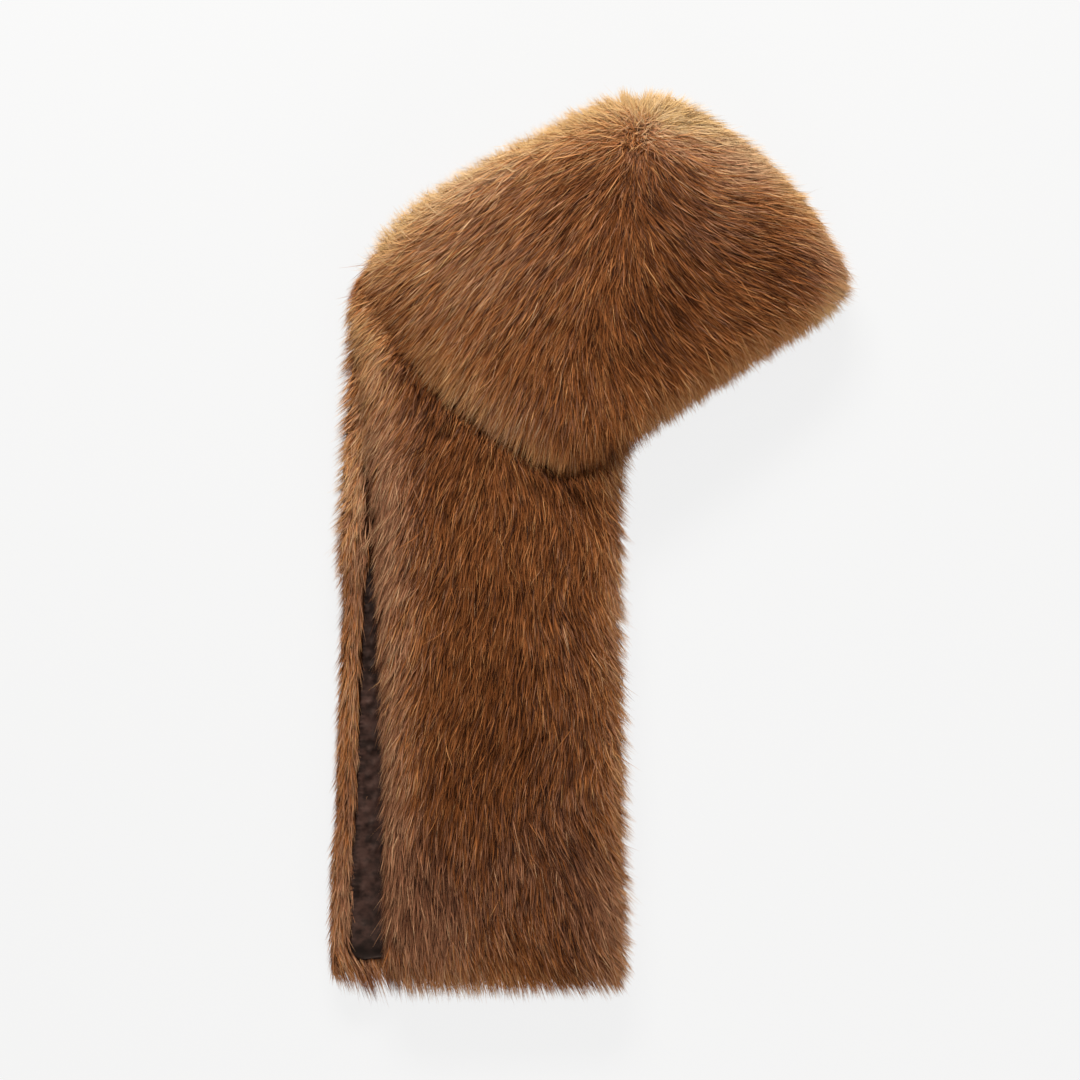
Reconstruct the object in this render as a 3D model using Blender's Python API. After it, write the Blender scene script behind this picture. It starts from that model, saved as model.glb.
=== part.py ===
"""Long-pile fur collar wrap with a satin lining, folded at the centre back and laid flat.

X runs across the two tails, Y runs from the hems up to the collar and Z is up. The far half
lies fur side down on the table with its lining up. The near half lies on it fur side up, and
at the neck it doubles over its own tail in one soft slanting pleat. All sizes are in metres.
"""

import math

import bmesh
import bpy
import numpy as np

WRAP = "fur_collar_wrap"

# How the layers lie on each other.
SEAM_GAP = 0.0003
PILE_UNDER = 0.0130
LINING_WALL = 0.0012
LINING_TOP = PILE_UNDER + SEAM_GAP + LINING_WALL
NEAR_BASE = LINING_TOP + SEAM_GAP
FAR_COLLAR_TOP = LINING_TOP
PRESSED_TAIL_TOP = NEAR_BASE + 0.0120
PLEAT_BASE = PRESSED_TAIL_TOP + 2 * SEAM_GAP

# How the pile rounds over at the edges of a layer.
EDGE_STEPS = (0.0, 0.0018, 0.0055, 0.0115, 0.0200)
MIDDLE_STEPS = 9
TOP_ROUND = 0.0210
UNDER_ROUND = 0.0075
WIDEST_AT = 0.55
LEAST_SIDE = 0.0015
HEM_TIP_SHARE = 0.35
BROAD_CROWN = 0.14

# The far tail's pile rolls up round the edge of its lining.
ROLL_CREST = 0.0235
ROLL_WALL_AT = 0.42
FULL_ROLL_WIDTH = 0.0140

# The pleat presses the near tail down, and the tail swells again this far out from it.
PRESS_START = 0.0080
PRESS_END = 0.0260

# The lining is gathered a little on its way along the tail.
GATHERS = 31
GATHER_RISE = 0.0011
GATHER_STEPS = 4
LEAST_GATHER_REACH = 0.0020
LINING_HEM_RISE = 0.0005
LINING_HEM_DEPTH = 0.0100

# Each row is one section across the near tail, from its hem to its hidden end under the pleat.
NEAR_COLUMNS = ("left_x", "left_y", "right_x", "right_y", "bow", "base", "left_top", "right_top")
NEAR_TAIL = (
    (-0.1405, -0.3135, 0.0225, -0.3135, 0.000, NEAR_BASE, 0.019, 0.019),
    (-0.1430, -0.3110, 0.0247, -0.3110, 0.000, NEAR_BASE, 0.027, 0.027),
    (-0.1442, -0.3050, 0.0268, -0.3050, 0.000, NEAR_BASE, 0.033, 0.032),
    (-0.1449, -0.2900, 0.0276, -0.2900, 0.000, NEAR_BASE, 0.038, 0.036),
    (-0.1449, -0.2600, 0.0273, -0.2600, 0.000, NEAR_BASE, 0.041, 0.038),
    (-0.1456, -0.2142, 0.0259, -0.2142, 0.000, NEAR_BASE, 0.042, 0.039),
    (-0.1463, -0.1442, 0.0252, -0.1442, 0.000, NEAR_BASE, 0.042, 0.040),
    (-0.1491, -0.0742, 0.0234, -0.0742, 0.000, NEAR_BASE, 0.042, 0.040),
    (-0.1512, -0.0252, 0.0227, -0.0252, 0.000, NEAR_BASE, 0.041, 0.040),
    (-0.1565, 0.0126, 0.0234, 0.0140, 0.000, NEAR_BASE, 0.041, 0.039),
    (-0.1615, 0.0547, 0.0241, 0.0364, 0.000, NEAR_BASE, 0.040, 0.037),
    (-0.1648, 0.0942, 0.0252, 0.0511, 0.000, NEAR_BASE, 0.040, 0.035),
    (-0.1677, 0.1281, 0.0273, 0.0616, 0.000, NEAR_BASE, 0.039, 0.033),
    (-0.1684, 0.1578, 0.0290, 0.0672, 0.000, NEAR_BASE, 0.038, 0.030),
    (-0.1639, 0.1814, 0.0315, 0.0728, -0.001, NEAR_BASE, 0.035, 0.027),
    (-0.1513, 0.2043, 0.0385, 0.0775, -0.004, NEAR_BASE, 0.030, 0.027),
    (-0.1340, 0.2264, 0.0470, 0.0826, -0.007, NEAR_BASE, 0.026, 0.026),
)

# Each row is one section across the near collar, from the pleat's edge to the centre-back fold.
# It rides over the near tail, then lies on the far collar, and at the fold reaches the table.
NEAR_COLLAR = (
    (-0.1622, 0.1781, -0.0260, 0.0548, -0.015, PLEAT_BASE, 0.031, 0.032),
    (-0.1610, 0.1825, -0.0140, 0.0516, -0.015, PLEAT_BASE, 0.036, 0.045),
    (-0.1588, 0.1899, -0.0007, 0.0553, -0.014, PLEAT_BASE, 0.039, 0.053),
    (-0.1547, 0.2003, 0.0147, 0.0609, -0.013, PLEAT_BASE, 0.043, 0.058),
    (-0.1452, 0.2179, 0.0329, 0.0721, -0.010, PLEAT_BASE, 0.048, 0.060),
    (-0.1333, 0.2295, 0.0497, 0.0840, -0.007, PLEAT_BASE, 0.051, 0.060),
    (-0.1311, 0.2312, 0.0518, 0.0855, -0.006, NEAR_BASE, 0.0515, 0.060),
    (-0.1186, 0.2406, 0.0651, 0.0945, -0.004, NEAR_BASE, 0.054, 0.060),
    (-0.0847, 0.2622, 0.0903, 0.1106, 0.000, NEAR_BASE, 0.056, 0.059),
    (-0.0450, 0.2828, 0.1162, 0.1274, 0.004, NEAR_BASE, 0.056, 0.057),
    (-0.0094, 0.3016, 0.1417, 0.1431, 0.007, NEAR_BASE, 0.054, 0.054),
    (0.0184, 0.3115, 0.1627, 0.1571, 0.010, NEAR_BASE, 0.051, 0.050),
    (0.0392, 0.3132, 0.1758, 0.1699, 0.012, NEAR_BASE, 0.046, 0.045),
    (0.0420, 0.3134, 0.1774, 0.1716, 0.012, 0.0, 0.045, 0.044),
    (0.0497, 0.3135, 0.1797, 0.1762, 0.014, 0.0, 0.042, 0.041),
    (0.0567, 0.3120, 0.1807, 0.1808, 0.015, 0.0, 0.037, 0.036),
    (0.0623, 0.3090, 0.1807, 0.1850, 0.016, 0.003, 0.030, 0.029),
    (0.0660, 0.3055, 0.1801, 0.1887, 0.016, 0.010, 0.019, 0.019),
)

# Each row is one section across the far tail. roll is the width of the pile that shows past the lining.
FAR_TAIL_COLUMNS = ("left_x", "left_y", "right_x", "right_y", "bow", "roll")
FAR_TAIL = (
    (-0.1740, -0.3135, 0.0190, -0.3115, 0.000, 0.030),
    (-0.1786, -0.3090, 0.0222, -0.3085, 0.000, 0.0328),
    (-0.1803, -0.2990, 0.0234, -0.2985, 0.000, 0.0328),
    (-0.1808, -0.2910, 0.0238, -0.2910, 0.000, 0.0155),
    (-0.1808, -0.2500, 0.0238, -0.2500, 0.000, 0.0148),
    (-0.1805, -0.1680, 0.0224, -0.1680, 0.000, 0.0158),
    (-0.1779, -0.0882, 0.0203, -0.0882, 0.000, 0.0166),
    (-0.1750, -0.0238, 0.0196, -0.0238, 0.000, 0.016),
    (-0.1732, 0.0210, 0.0203, 0.0182, 0.000, 0.014),
    (-0.1708, 0.0658, 0.0213, 0.0406, 0.000, 0.009),
    (-0.1694, 0.1050, 0.0228, 0.0525, 0.000, 0.005),
    (-0.1673, 0.1393, 0.0245, 0.0567, 0.000, 0.002),
)

# Each row is one section across the far collar, from the seam with its tail to just short of the fold.
FAR_COLLAR_COLUMNS = ("left_x", "left_y", "right_x", "right_y", "bow")
FAR_COLLAR = (
    (-0.1669, 0.1420, 0.0248, 0.0594, 0.000),
    (-0.1658, 0.1680, 0.0343, 0.0686, 0.000),
    (-0.1625, 0.1873, 0.0448, 0.0775, 0.000),
    (-0.1489, 0.2104, 0.0567, 0.0866, 0.000),
    (-0.1210, 0.2347, 0.0763, 0.1000, 0.000),
    (-0.0818, 0.2592, 0.1008, 0.1155, 0.001),
    (-0.0404, 0.2808, 0.1253, 0.1317, 0.003),
    (-0.0052, 0.2992, 0.1475, 0.1465, 0.006),
    (0.0192, 0.3071, 0.1630, 0.1569, 0.009),
    (0.0376, 0.3094, 0.1725, 0.1684, 0.011),
)

# The lining runs from its hem to the neck, from the far tail's roll to short of its right edge.
LINING_HEM_Y = -0.2893
LINING_NECK_INSET = 0.0020
LINING_RIGHT_INSET = 0.0120

FUR_BROWN = (0.156, 0.061, 0.024, 1.0)
LINING_BROWN = (0.048, 0.026, 0.019, 1.0)
FUR_ROUGHNESS = 0.75
SATIN_ROUGHNESS = 0.42


def clear_scene():
    """Removes every object of the scene that is open."""
    for old in list(bpy.data.objects):
        bpy.data.objects.remove(old, do_unlink=True)


def wrap_collection():
    """The collection that holds the pieces of the wrap."""
    collection = bpy.data.collections.new(WRAP)
    bpy.context.scene.collection.children.link(collection)
    return collection


def cloth_material(name, colour, roughness):
    """A plain surface with the colour of one of the wrap's two cloths."""
    material = bpy.data.materials.new(name)
    material.use_nodes = True
    shader = material.node_tree.nodes["Principled BSDF"]
    shader.inputs["Base Color"].default_value = colour
    shader.inputs["Roughness"].default_value = roughness
    shader.inputs["Metallic"].default_value = 0.0
    return material


def table_rows(columns, rows):
    """The rows of a table of sections, each as a dictionary from column to value."""
    return [dict(zip(columns, row)) for row in rows]


def through_rows(rows, steps, straight=()):
    """The sections along a smooth curve through every row, with steps of them to each span.

    The columns named in straight run in straight lines from row to row.
    """
    columns = list(rows[0])
    values = np.array([[row[column] for column in columns] for row in rows])
    padded = np.vstack((2 * values[0] - values[1], values, 2 * values[-1] - values[-2]))
    sections = []
    for span in range(len(rows) - 1):
        before, start, end, after = padded[span : span + 4]
        for step in range(steps):
            t = step / steps
            curve = 0.5 * (
                2 * start
                + (end - before) * t
                + (2 * before - 5 * start + 4 * end - after) * t**2
                + (3 * start - before - 3 * end + after) * t**3
            )
            section = dict(zip(columns, curve))
            line = dict(zip(columns, start + (end - start) * t))
            section.update({column: line[column] for column in straight})
            sections.append(section)
    sections.append(dict(rows[-1]))
    return sections


def ends(section):
    """The left and right ends of a section, as points on the table."""
    left = np.array((section["left_x"], section["left_y"]))
    right = np.array((section["right_x"], section["right_y"]))
    return left, right


def stations(width, edge_steps=EDGE_STEPS, middle_steps=MIDDLE_STEPS):
    """Distances across a section of this width, close together at both of its edges."""
    edge = np.array(edge_steps)
    middle = np.linspace(edge[-1], width - edge[-1], middle_steps + 1)[1:-1]
    return np.concatenate((edge, middle, width - edge[::-1]))


def plan(section, across, width):
    """The points of a section on the table, with its bow towards the fold."""
    left, right = ends(section)
    along = (right - left) / width
    to_fold = np.array((-along[1], along[0]))
    share = across / width
    bow = section["bow"] * (1 - (2 * share - 1) ** 2)
    return left + np.outer(across, along) + np.outer(bow, to_fold)


def quarter_round(distance, radius):
    """Rises from 0 at an edge to 1 at the radius, as a quarter of a circle."""
    inside = np.clip(distance / radius, 0.0, 1.0)
    return np.sqrt(1 - (1 - inside) ** 2)


def smooth_step(value, low, high):
    """Rises smoothly from 0 at low to 1 at high."""
    share = np.clip((value - low) / (high - low), 0.0, 1.0)
    return share**2 * (3 - 2 * share)


def pile_ring(section, press=None):
    """The closed ring of a layer of fur: a flat underside, round edges and a crowned top."""
    left, right = ends(section)
    width = math.dist(left, right)
    across = stations(width)
    points = plan(section, across, width)
    share = across / width
    edge = np.minimum(across, width - across)
    base = section["base"]
    crown = section["left_top"] + (section["right_top"] - section["left_top"]) * share
    middle = np.maximum(WIDEST_AT * crown, base + LEAST_SIDE)
    broad = 1 - (2 * share - 1) ** 2
    rise = (1 - BROAD_CROWN) * quarter_round(edge, TOP_ROUND) + BROAD_CROWN * broad
    top = middle + (crown - middle) * rise
    under = middle - (middle - base) * quarter_round(edge, UNDER_ROUND)
    if press is not None:
        top = press(points, top)
    return closed_ring(points, top, under)


def closed_ring(points, top, under):
    """One loop of points: over the top from left to right, and back along the underside."""
    over = np.column_stack((points, top))
    back = np.column_stack((points, under))[-2:0:-1]
    return np.vstack((over, back))


def pressed_by_pleat(points, top):
    """The near tail's top where the pleat lies on it, and where it swells again beside it."""
    edge = table_rows(NEAR_COLUMNS, NEAR_COLLAR)[0]
    left, right = ends(edge)
    length = math.dist(left, right)
    along = (right - left) / length
    away = np.array((along[1], -along[0]))
    u = (points - left) @ along / length
    bow = -edge["bow"] * np.clip(1 - (2 * u - 1) ** 2, 0.0, 1.0)
    past_pleat = (points - left) @ away - bow
    lower_edge = np.array(NEAR_COLLAR[4][2:4]) - right
    outward = np.array((lower_edge[1], -lower_edge[0])) / math.hypot(*lower_edge)
    past_lower_edge = (points - right) @ outward
    free = smooth_step(np.maximum(past_pleat, past_lower_edge), PRESS_START, PRESS_END)
    pressed = np.minimum(top, PRESSED_TAIL_TOP)
    return pressed + (top - pressed) * free


def far_tail_ring(section):
    """The far tail's ring: flat on the table and under the lining, with the roll at its left."""
    left, right = ends(section)
    width = math.dist(left, right)
    roll = section["roll"]
    roll_steps = tuple(roll * share for share in (0.0, 0.06, 0.2, 0.5, 0.8, 0.95, 1.0))
    from_left = np.array(roll_steps)
    from_right = width - np.array(EDGE_STEPS[:3])[::-1]
    middle = np.linspace(from_left[-1], from_right[0], MIDDLE_STEPS + 1)[1:-1]
    across = np.concatenate((from_left, middle, from_right))
    points = plan(section, across, width)
    over_roll = np.clip(across / roll, 0.0, 1.0)
    crest = section["crest"]
    bulge = np.sqrt(np.clip(1 - (2 * over_roll - 1) ** 2, 0.0, 1.0))
    widest = ROLL_WALL_AT * crest
    bed = min(PILE_UNDER, crest)
    top = np.where(over_roll < 0.5, widest + (crest - widest) * bulge, bed + (crest - bed) * bulge)
    right_edge = width - across
    right_side = 0.5 * bed * (1 + quarter_round(right_edge, EDGE_STEPS[2]))
    top = np.where(right_edge < EDGE_STEPS[2], right_side, top)
    left_under = widest * (1 - quarter_round(across, UNDER_ROUND))
    right_under = 0.5 * bed * (1 - quarter_round(right_edge, EDGE_STEPS[2]))
    under = np.where(across < 0.5 * width, left_under, right_under)
    return closed_ring(points, top, under)


def far_collar_ring(section):
    """The far collar's ring: a slab of pile, flat above and below, with round edges."""
    left, right = ends(section)
    width = math.dist(left, right)
    across = stations(width)
    points = plan(section, across, width)
    edge = np.minimum(across, width - across)
    swell = quarter_round(edge, UNDER_ROUND)
    top = 0.5 * FAR_COLLAR_TOP * (1 + swell)
    under = 0.5 * FAR_COLLAR_TOP * (1 - swell)
    return closed_ring(points, top, under)


def gather_height(distance, length):
    """How far the lining stands up at this distance from its hem: uneven, shallow gathers."""
    turn = GATHERS * math.pi * distance / length
    uneven = 0.62 + 0.26 * math.sin(0.37 * turn + 0.8) + 0.12 * math.sin(1.31 * turn)
    hem = LINING_HEM_RISE * float(distance < LINING_HEM_DEPTH)
    clear = smooth_step(distance, LINING_HEM_DEPTH, 3 * LINING_HEM_DEPTH)
    return hem + GATHER_RISE * clear * uneven * math.sin(turn + 0.5 * math.sin(0.53 * turn)) ** 2


def lining_rings(far_sections):
    """The lining's rings on the far tail's sections. Its gathers stand where the near tail leaves it bare."""
    near_rows = table_rows(NEAR_COLUMNS, NEAR_TAIL)
    near_edge = [[row[column] for row in near_rows] for column in ("left_y", "left_x")]
    heights = [section["left_y"] for section in far_sections]
    neck_y = heights[-1] - LINING_NECK_INSET
    count = GATHERS * GATHER_STEPS // 2
    length = neck_y - LINING_HEM_Y
    rings = []
    for index in range(count + 1):
        distance = length * index / count
        section = {
            column: float(np.interp(LINING_HEM_Y + distance, heights, [s[column] for s in far_sections]))
            for column in FAR_TAIL_COLUMNS
        }
        left, right = ends(section)
        full_width = math.dist(left, right)
        inner = left + (right - left) * (section["roll"] + SEAM_GAP) / full_width
        outer = right - (right - left) * LINING_RIGHT_INSET / full_width
        width = math.dist(inner, outer)
        bare = np.interp(inner[1], *near_edge) - inner[0]
        reach = max(bare, LEAST_GATHER_REACH)
        across = np.array((0.0, 0.35 * reach, 0.7 * reach, reach, 0.5 * width, width))
        points = inner + np.outer(across / width, outer - inner)
        fade = (1 - smooth_step(across, 0.6 * reach, reach)) * smooth_step(bare, 0.0, reach)
        under = np.full(len(across), PILE_UNDER + SEAM_GAP)
        rise = gather_height(distance, length) * fade
        over = np.column_stack((points, under + LINING_WALL + rise))
        back = np.column_stack((points, under))[::-1]
        rings.append(np.vstack((over, back)))
    return rings


def lofted_piece(name, rings, material, collection, pointed):
    """A closed mesh through the rings. A pointed ring has one point at each of its two edges."""
    count = len(rings[0])
    mesh = bmesh.new()
    loops = [[mesh.verts.new(point) for point in ring] for ring in rings]
    for low, high in zip(loops, loops[1:]):
        for index in range(count):
            after = (index + 1) % count
            mesh.faces.new((low[index], high[index], high[after], low[after]))
    for loop in (loops[0], loops[-1]):
        close_end(mesh, loop, pointed)
    bmesh.ops.recalc_face_normals(mesh, faces=mesh.faces)
    data = bpy.data.meshes.new(name)
    mesh.to_mesh(data)
    mesh.free()
    data.shade_smooth()
    piece = bpy.data.objects.new(name, data)
    piece.data.materials.append(material)
    collection.objects.link(piece)
    return piece


def close_end(mesh, loop, pointed):
    """Closes one end of a loft with a strip between the top of its ring and the underside."""
    count = len(loop)
    if pointed:
        over = loop[: count // 2 + 1]
        back = [loop[0]] + loop[:count // 2 - 1:-1]
    else:
        over = loop[: count // 2]
        back = loop[: count // 2 - 1 : -1]
    for index in range(len(over) - 1):
        corners = (over[index], over[index + 1], back[index + 1], back[index])
        distinct = list(dict.fromkeys(corners))
        mesh.faces.new(distinct)


def far_tail_sections():
    """The far tail's sections, with the height of its roll at each."""
    sections = through_rows(table_rows(FAR_TAIL_COLUMNS, FAR_TAIL), 2, straight=("roll",))
    hem_y = sections[0]["left_y"]
    for section in sections:
        hem_round = quarter_round(section["left_y"] - hem_y, TOP_ROUND)
        fullness = min(1.0, section["roll"] / FULL_ROLL_WIDTH)
        crest = PILE_UNDER + (ROLL_CREST - PILE_UNDER) * fullness
        section["crest"] = crest * (HEM_TIP_SHARE + (1 - HEM_TIP_SHARE) * float(hem_round))
    return sections


def build():
    clear_scene()
    collection = wrap_collection()
    fur = {
        name: cloth_material(name + "_pile", FUR_BROWN, FUR_ROUGHNESS)
        for name in ("near_collar", "near_tail", "far_collar", "far_tail")
    }
    satin = cloth_material("lining_satin", LINING_BROWN, SATIN_ROUGHNESS)

    far_sections = far_tail_sections()
    far_tail = [far_tail_ring(section) for section in far_sections]
    lofted_piece("far_tail", far_tail, fur["far_tail"], collection, pointed=True)

    rows = table_rows(FAR_COLLAR_COLUMNS, FAR_COLLAR)
    far_collar = [far_collar_ring(section) for section in through_rows(rows, 2)]
    lofted_piece("far_collar", far_collar, fur["far_collar"], collection, pointed=True)

    lofted_piece("far_lining", lining_rings(far_sections), satin, collection, pointed=False)

    rows = table_rows(NEAR_COLUMNS, NEAR_TAIL)
    near_tail = [pile_ring(section, pressed_by_pleat) for section in through_rows(rows, 2)]
    lofted_piece("near_tail", near_tail, fur["near_tail"], collection, pointed=True)

    rows = table_rows(NEAR_COLUMNS, NEAR_COLLAR)
    near_collar = [pile_ring(section) for section in through_rows(rows, 2, straight=("base",))]
    lofted_piece("near_collar", near_collar, fur["near_collar"], collection, pointed=True)


build()
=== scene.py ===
import math

import bmesh
import bpy
import numpy as np
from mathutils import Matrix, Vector
from mathutils.bvhtree import BVHTree
from mathutils.kdtree import KDTree


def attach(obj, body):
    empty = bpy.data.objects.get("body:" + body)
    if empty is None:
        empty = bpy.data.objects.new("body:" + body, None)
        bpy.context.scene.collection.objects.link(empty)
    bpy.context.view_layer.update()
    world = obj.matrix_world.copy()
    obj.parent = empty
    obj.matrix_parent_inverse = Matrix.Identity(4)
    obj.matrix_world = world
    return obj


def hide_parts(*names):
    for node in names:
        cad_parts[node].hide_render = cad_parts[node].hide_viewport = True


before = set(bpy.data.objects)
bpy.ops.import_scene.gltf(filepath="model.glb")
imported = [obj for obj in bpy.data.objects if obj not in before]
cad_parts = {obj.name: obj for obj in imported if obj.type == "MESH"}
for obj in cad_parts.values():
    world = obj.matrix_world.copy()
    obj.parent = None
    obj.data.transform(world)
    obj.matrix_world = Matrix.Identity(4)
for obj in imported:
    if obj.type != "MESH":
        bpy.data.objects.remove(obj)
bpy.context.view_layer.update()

# ---------------------------------------------------------------------------------------------
# The table and the light. The wrap lies on a pale matt table top. One long soft lamp stands
# beyond the collar, low over the table, a weaker one stands beyond the hem, and a wide soft one
# hangs overhead.
# ---------------------------------------------------------------------------------------------

TABLE_SIDE = 30.0
TABLE_WHITE = (0.06, 0.06, 0.06, 1.0)
TABLE_ROUGHNESS = 0.9
TABLE_GLOW = 0.855
ROOM_WHITE = (0.96, 0.96, 0.96, 1.0)
ROOM_STRENGTH = 0.22

# Each lamp: its name, its place, the point that it faces, its width and height, its watts and its colour.
LAMPS = (
    ("collar_lamp", (-0.25, 2.0, 1.15), (0.0, 0.05, 0.02), (1.4, 0.5), 88.0, (1.0, 0.985, 0.95)),
    ("overhead_lamp", (0.0, 0.3, 2.6), (0.0, 0.0, 0.0), (2.2, 2.2), 14.0, (1.0, 1.0, 1.0)),
    ("hem_lamp", (0.5, -2.0, 0.9), (0.0, 0.0, 0.02), (1.6, 0.6), 24.0, (1.0, 0.98, 0.95)),
)


def new_finish(name, settings):
    """A new material and its shader, with the shader's own sockets set."""
    material = bpy.data.materials.new(name)
    material.use_nodes = True
    shader = material.node_tree.nodes["Principled BSDF"]
    for socket, value in settings.items():
        shader.inputs[socket].default_value = value
    return material, shader


def put_in_scene(name, data):
    """A new object with this data, in the scene."""
    thing = bpy.data.objects.new(name, data)
    bpy.context.scene.collection.objects.link(thing)
    return thing


bpy.ops.mesh.primitive_plane_add(size=TABLE_SIDE)
table_top = bpy.context.object
table_top.name = "table_top"
paint_settings = {
    "Base Color": TABLE_WHITE,
    "Roughness": TABLE_ROUGHNESS,
    "Emission Color": ROOM_WHITE,
    "Emission Strength": TABLE_GLOW,
}
table_top.data.materials.append(new_finish("table_paint", paint_settings)[0])

room = bpy.data.worlds.new("room")
bpy.context.scene.world = room
room.use_nodes = True
room.node_tree.nodes["Background"].inputs["Color"].default_value = ROOM_WHITE
room.node_tree.nodes["Background"].inputs["Strength"].default_value = ROOM_STRENGTH

for name, place, aim, (width, height), watts, colour in LAMPS:
    light = bpy.data.lights.new(name, "AREA")
    light.shape = "RECTANGLE"
    light.size = width
    light.size_y = height
    light.energy = watts
    light.color = colour
    lamp = put_in_scene(name, light)
    lamp.location = place
    lamp.rotation_euler = (Vector(aim) - Vector(place)).to_track_quat("-Z", "Y").to_euler()

# ---------------------------------------------------------------------------------------------
# The camera looks straight down on the wrap, with a long lens. It stands so high that the lens
# takes in VIEW_WIDTH at the height of the wrap's middle.
# ---------------------------------------------------------------------------------------------

LENS_MM = 85.0
SENSOR_MM = 36.0
VIEW_WIDTH = 0.756
VIEW_CENTRE = (-0.0355, 0.0028)
WRAP_MIDDLE_Z = 0.026

lens = bpy.data.cameras.new("table_camera")
lens.lens = LENS_MM
lens.sensor_width = SENSOR_MM
camera = put_in_scene("table_camera", lens)
camera.location = (*VIEW_CENTRE, WRAP_MIDDLE_Z + VIEW_WIDTH * LENS_MM / SENSOR_MM)
bpy.context.scene.camera = camera
bpy.context.scene.view_settings.view_transform = "Standard"

# ---------------------------------------------------------------------------------------------
# The near collar: long pile fur fabric, doubled over at the pleat and folded at the centre back.
# The pile is brushed out from one crown near the top of the fold. The knitted ground lies deep
# under the hair, and the hair is laid lock by lock: each lock is a few hairs drawn to one point.
# ---------------------------------------------------------------------------------------------

# The rounded form that a stretch of pile fills out: how finely it is made, and how it is evened.
NEAR_VOXEL = 0.0032
WELD_REACH = 1e-6
RELAX_SHARE = 0.5
RELAX_ROUNDS = 3

# How far the pile stands straight out over an edge, and how much its locks are drawn into tufts.
FULL_OUTWARD = 0.88
TUFT_PULL = 0.85


def smooth_share(value):
    """0 below 0 and 1 above 1, with a smooth way between."""
    value = np.clip(value, 0, 1)
    return value * value * (3 - 2 * value)


def rising(value, start, over):
    """0 up to the start, and from there evenly up to 1 over a stretch."""
    return np.clip((value - start) / over, 0, 1)


def falling(value, end, over):
    """0 from the end on, and before it evenly down from 1 over a stretch."""
    return np.clip((end - value) / over, 0, 1)


def unit(vectors):
    """The vectors, each at length 1."""
    return vectors / np.maximum(np.linalg.norm(vectors, axis=-1, keepdims=True), 1e-9)


def everywhere(value):
    """The same value at every place."""
    return lambda points: value


def surface_of(mesh):
    """A mesh's points, smooth normals, triangles and search tree."""
    points = np.empty(len(mesh.vertices) * 3, np.float32)
    mesh.vertices.foreach_get("co", points)
    points = points.reshape(-1, 3).astype(float)
    normals = np.empty(len(points) * 3, np.float32)
    mesh.vertices.foreach_get("normal", normals)
    mesh.calc_loop_triangles()
    triangles = np.empty(len(mesh.loop_triangles) * 3, np.int32)
    mesh.loop_triangles.foreach_get("vertices", triangles)
    triangles = triangles.reshape(-1, 3)
    return {
        "points": points,
        "normals": unit(normals.reshape(-1, 3).astype(float)),
        "triangles": triangles,
        "tree": BVHTree.FromPolygons(points.tolist(), triangles.tolist()),
    }


def form_of(node, voxel, reach, outward=everywhere(FULL_OUTWARD), tuft_pull=everywhere(TUFT_PULL)):
    """The node's rounded outer form, and how its pile stands at each place.

    outward(points) is how far the pile stands straight out over an edge, instead of bending round it,
    reach(points) is how far its tips pass the edge, and tuft_pull(points) is how much it is tufted.
    """
    work = bmesh.new()
    work.from_mesh(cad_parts[node].data)
    bmesh.ops.remove_doubles(work, verts=work.verts, dist=WELD_REACH)
    data = bpy.data.meshes.new(node + "_form")
    work.to_mesh(data)
    work.free()
    holder = put_in_scene(node + "_form", data)
    remesh = holder.modifiers.new("even", "REMESH")
    remesh.mode = "VOXEL"
    remesh.voxel_size = voxel
    relax = holder.modifiers.new("relax", "SMOOTH")
    relax.factor = RELAX_SHARE
    relax.iterations = RELAX_ROUNDS
    graph = bpy.context.evaluated_depsgraph_get()
    even = bpy.data.meshes.new_from_object(holder.evaluated_get(graph))
    bpy.data.objects.remove(holder)
    bpy.data.meshes.remove(data)
    return {"mesh": even, "outward": outward, "reach": reach, "tuft_pull": tuft_pull, **surface_of(even)}


def reshape(form, points):
    """Moves a form's points, and reads its surface again."""
    form["mesh"].vertices.foreach_set("co", points.astype(np.float32).ravel())
    form["mesh"].update()
    form.update(surface_of(form["mesh"]))


# How deep the ground and the roots may lie where the form is thin, as shares of its thickness. The
# thickness is sounded from just inside the surface, as far as a few times the loft.
GROUND_SHARE = 0.40
ROOT_SHARE = 0.42
SOUNDING = 3
JUST_INSIDE = 1e-4


def depth_at(form, points, normals, loft, share):
    """How deep the ground or a root lies under each point: the loft, or less where the form is thin."""
    most = SOUNDING * loft
    under = np.empty(len(points))
    for index, (point, normal) in enumerate(zip(points.tolist(), normals.tolist())):
        start = Vector(point) - Vector(normal) * JUST_INSIDE
        distance = form["tree"].ray_cast(start, -Vector(normal), most)[3]
        under[index] = most if distance is None else distance
    return np.minimum(loft, share * under)


def feed(tree, socket, value):
    """Joins a socket to the socket that feeds it, or sets it to a number or a colour."""
    if isinstance(value, bpy.types.NodeSocket):
        tree.links.new(value, socket)
    elif socket.type == "RGBA":
        socket.default_value = (*value, 1.0)
    else:
        socket.default_value = value


def dye_node(tree, kind, inputs, **settings):
    """A node of a finish, with its settings made and its inputs fed."""
    node = tree.nodes.new("ShaderNode" + kind)
    for name, value in settings.items():
        setattr(node, name, value)
    for socket, value in inputs.items():
        feed(tree, node.inputs[socket], value)
    return node


def dye_sum(tree, operation, *values):
    """The result of a sum on dye values."""
    return dye_node(tree, "Math", dict(enumerate(values)), operation=operation).outputs[0]


def dye_mix(tree, share, first, second, blend="MIX"):
    """Two colours mixed by a share."""
    inputs = {0: share, 6: first, 7: second}
    return dye_node(tree, "Mix", inputs, data_type="RGBA", blend_type=blend).outputs[2]


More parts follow.
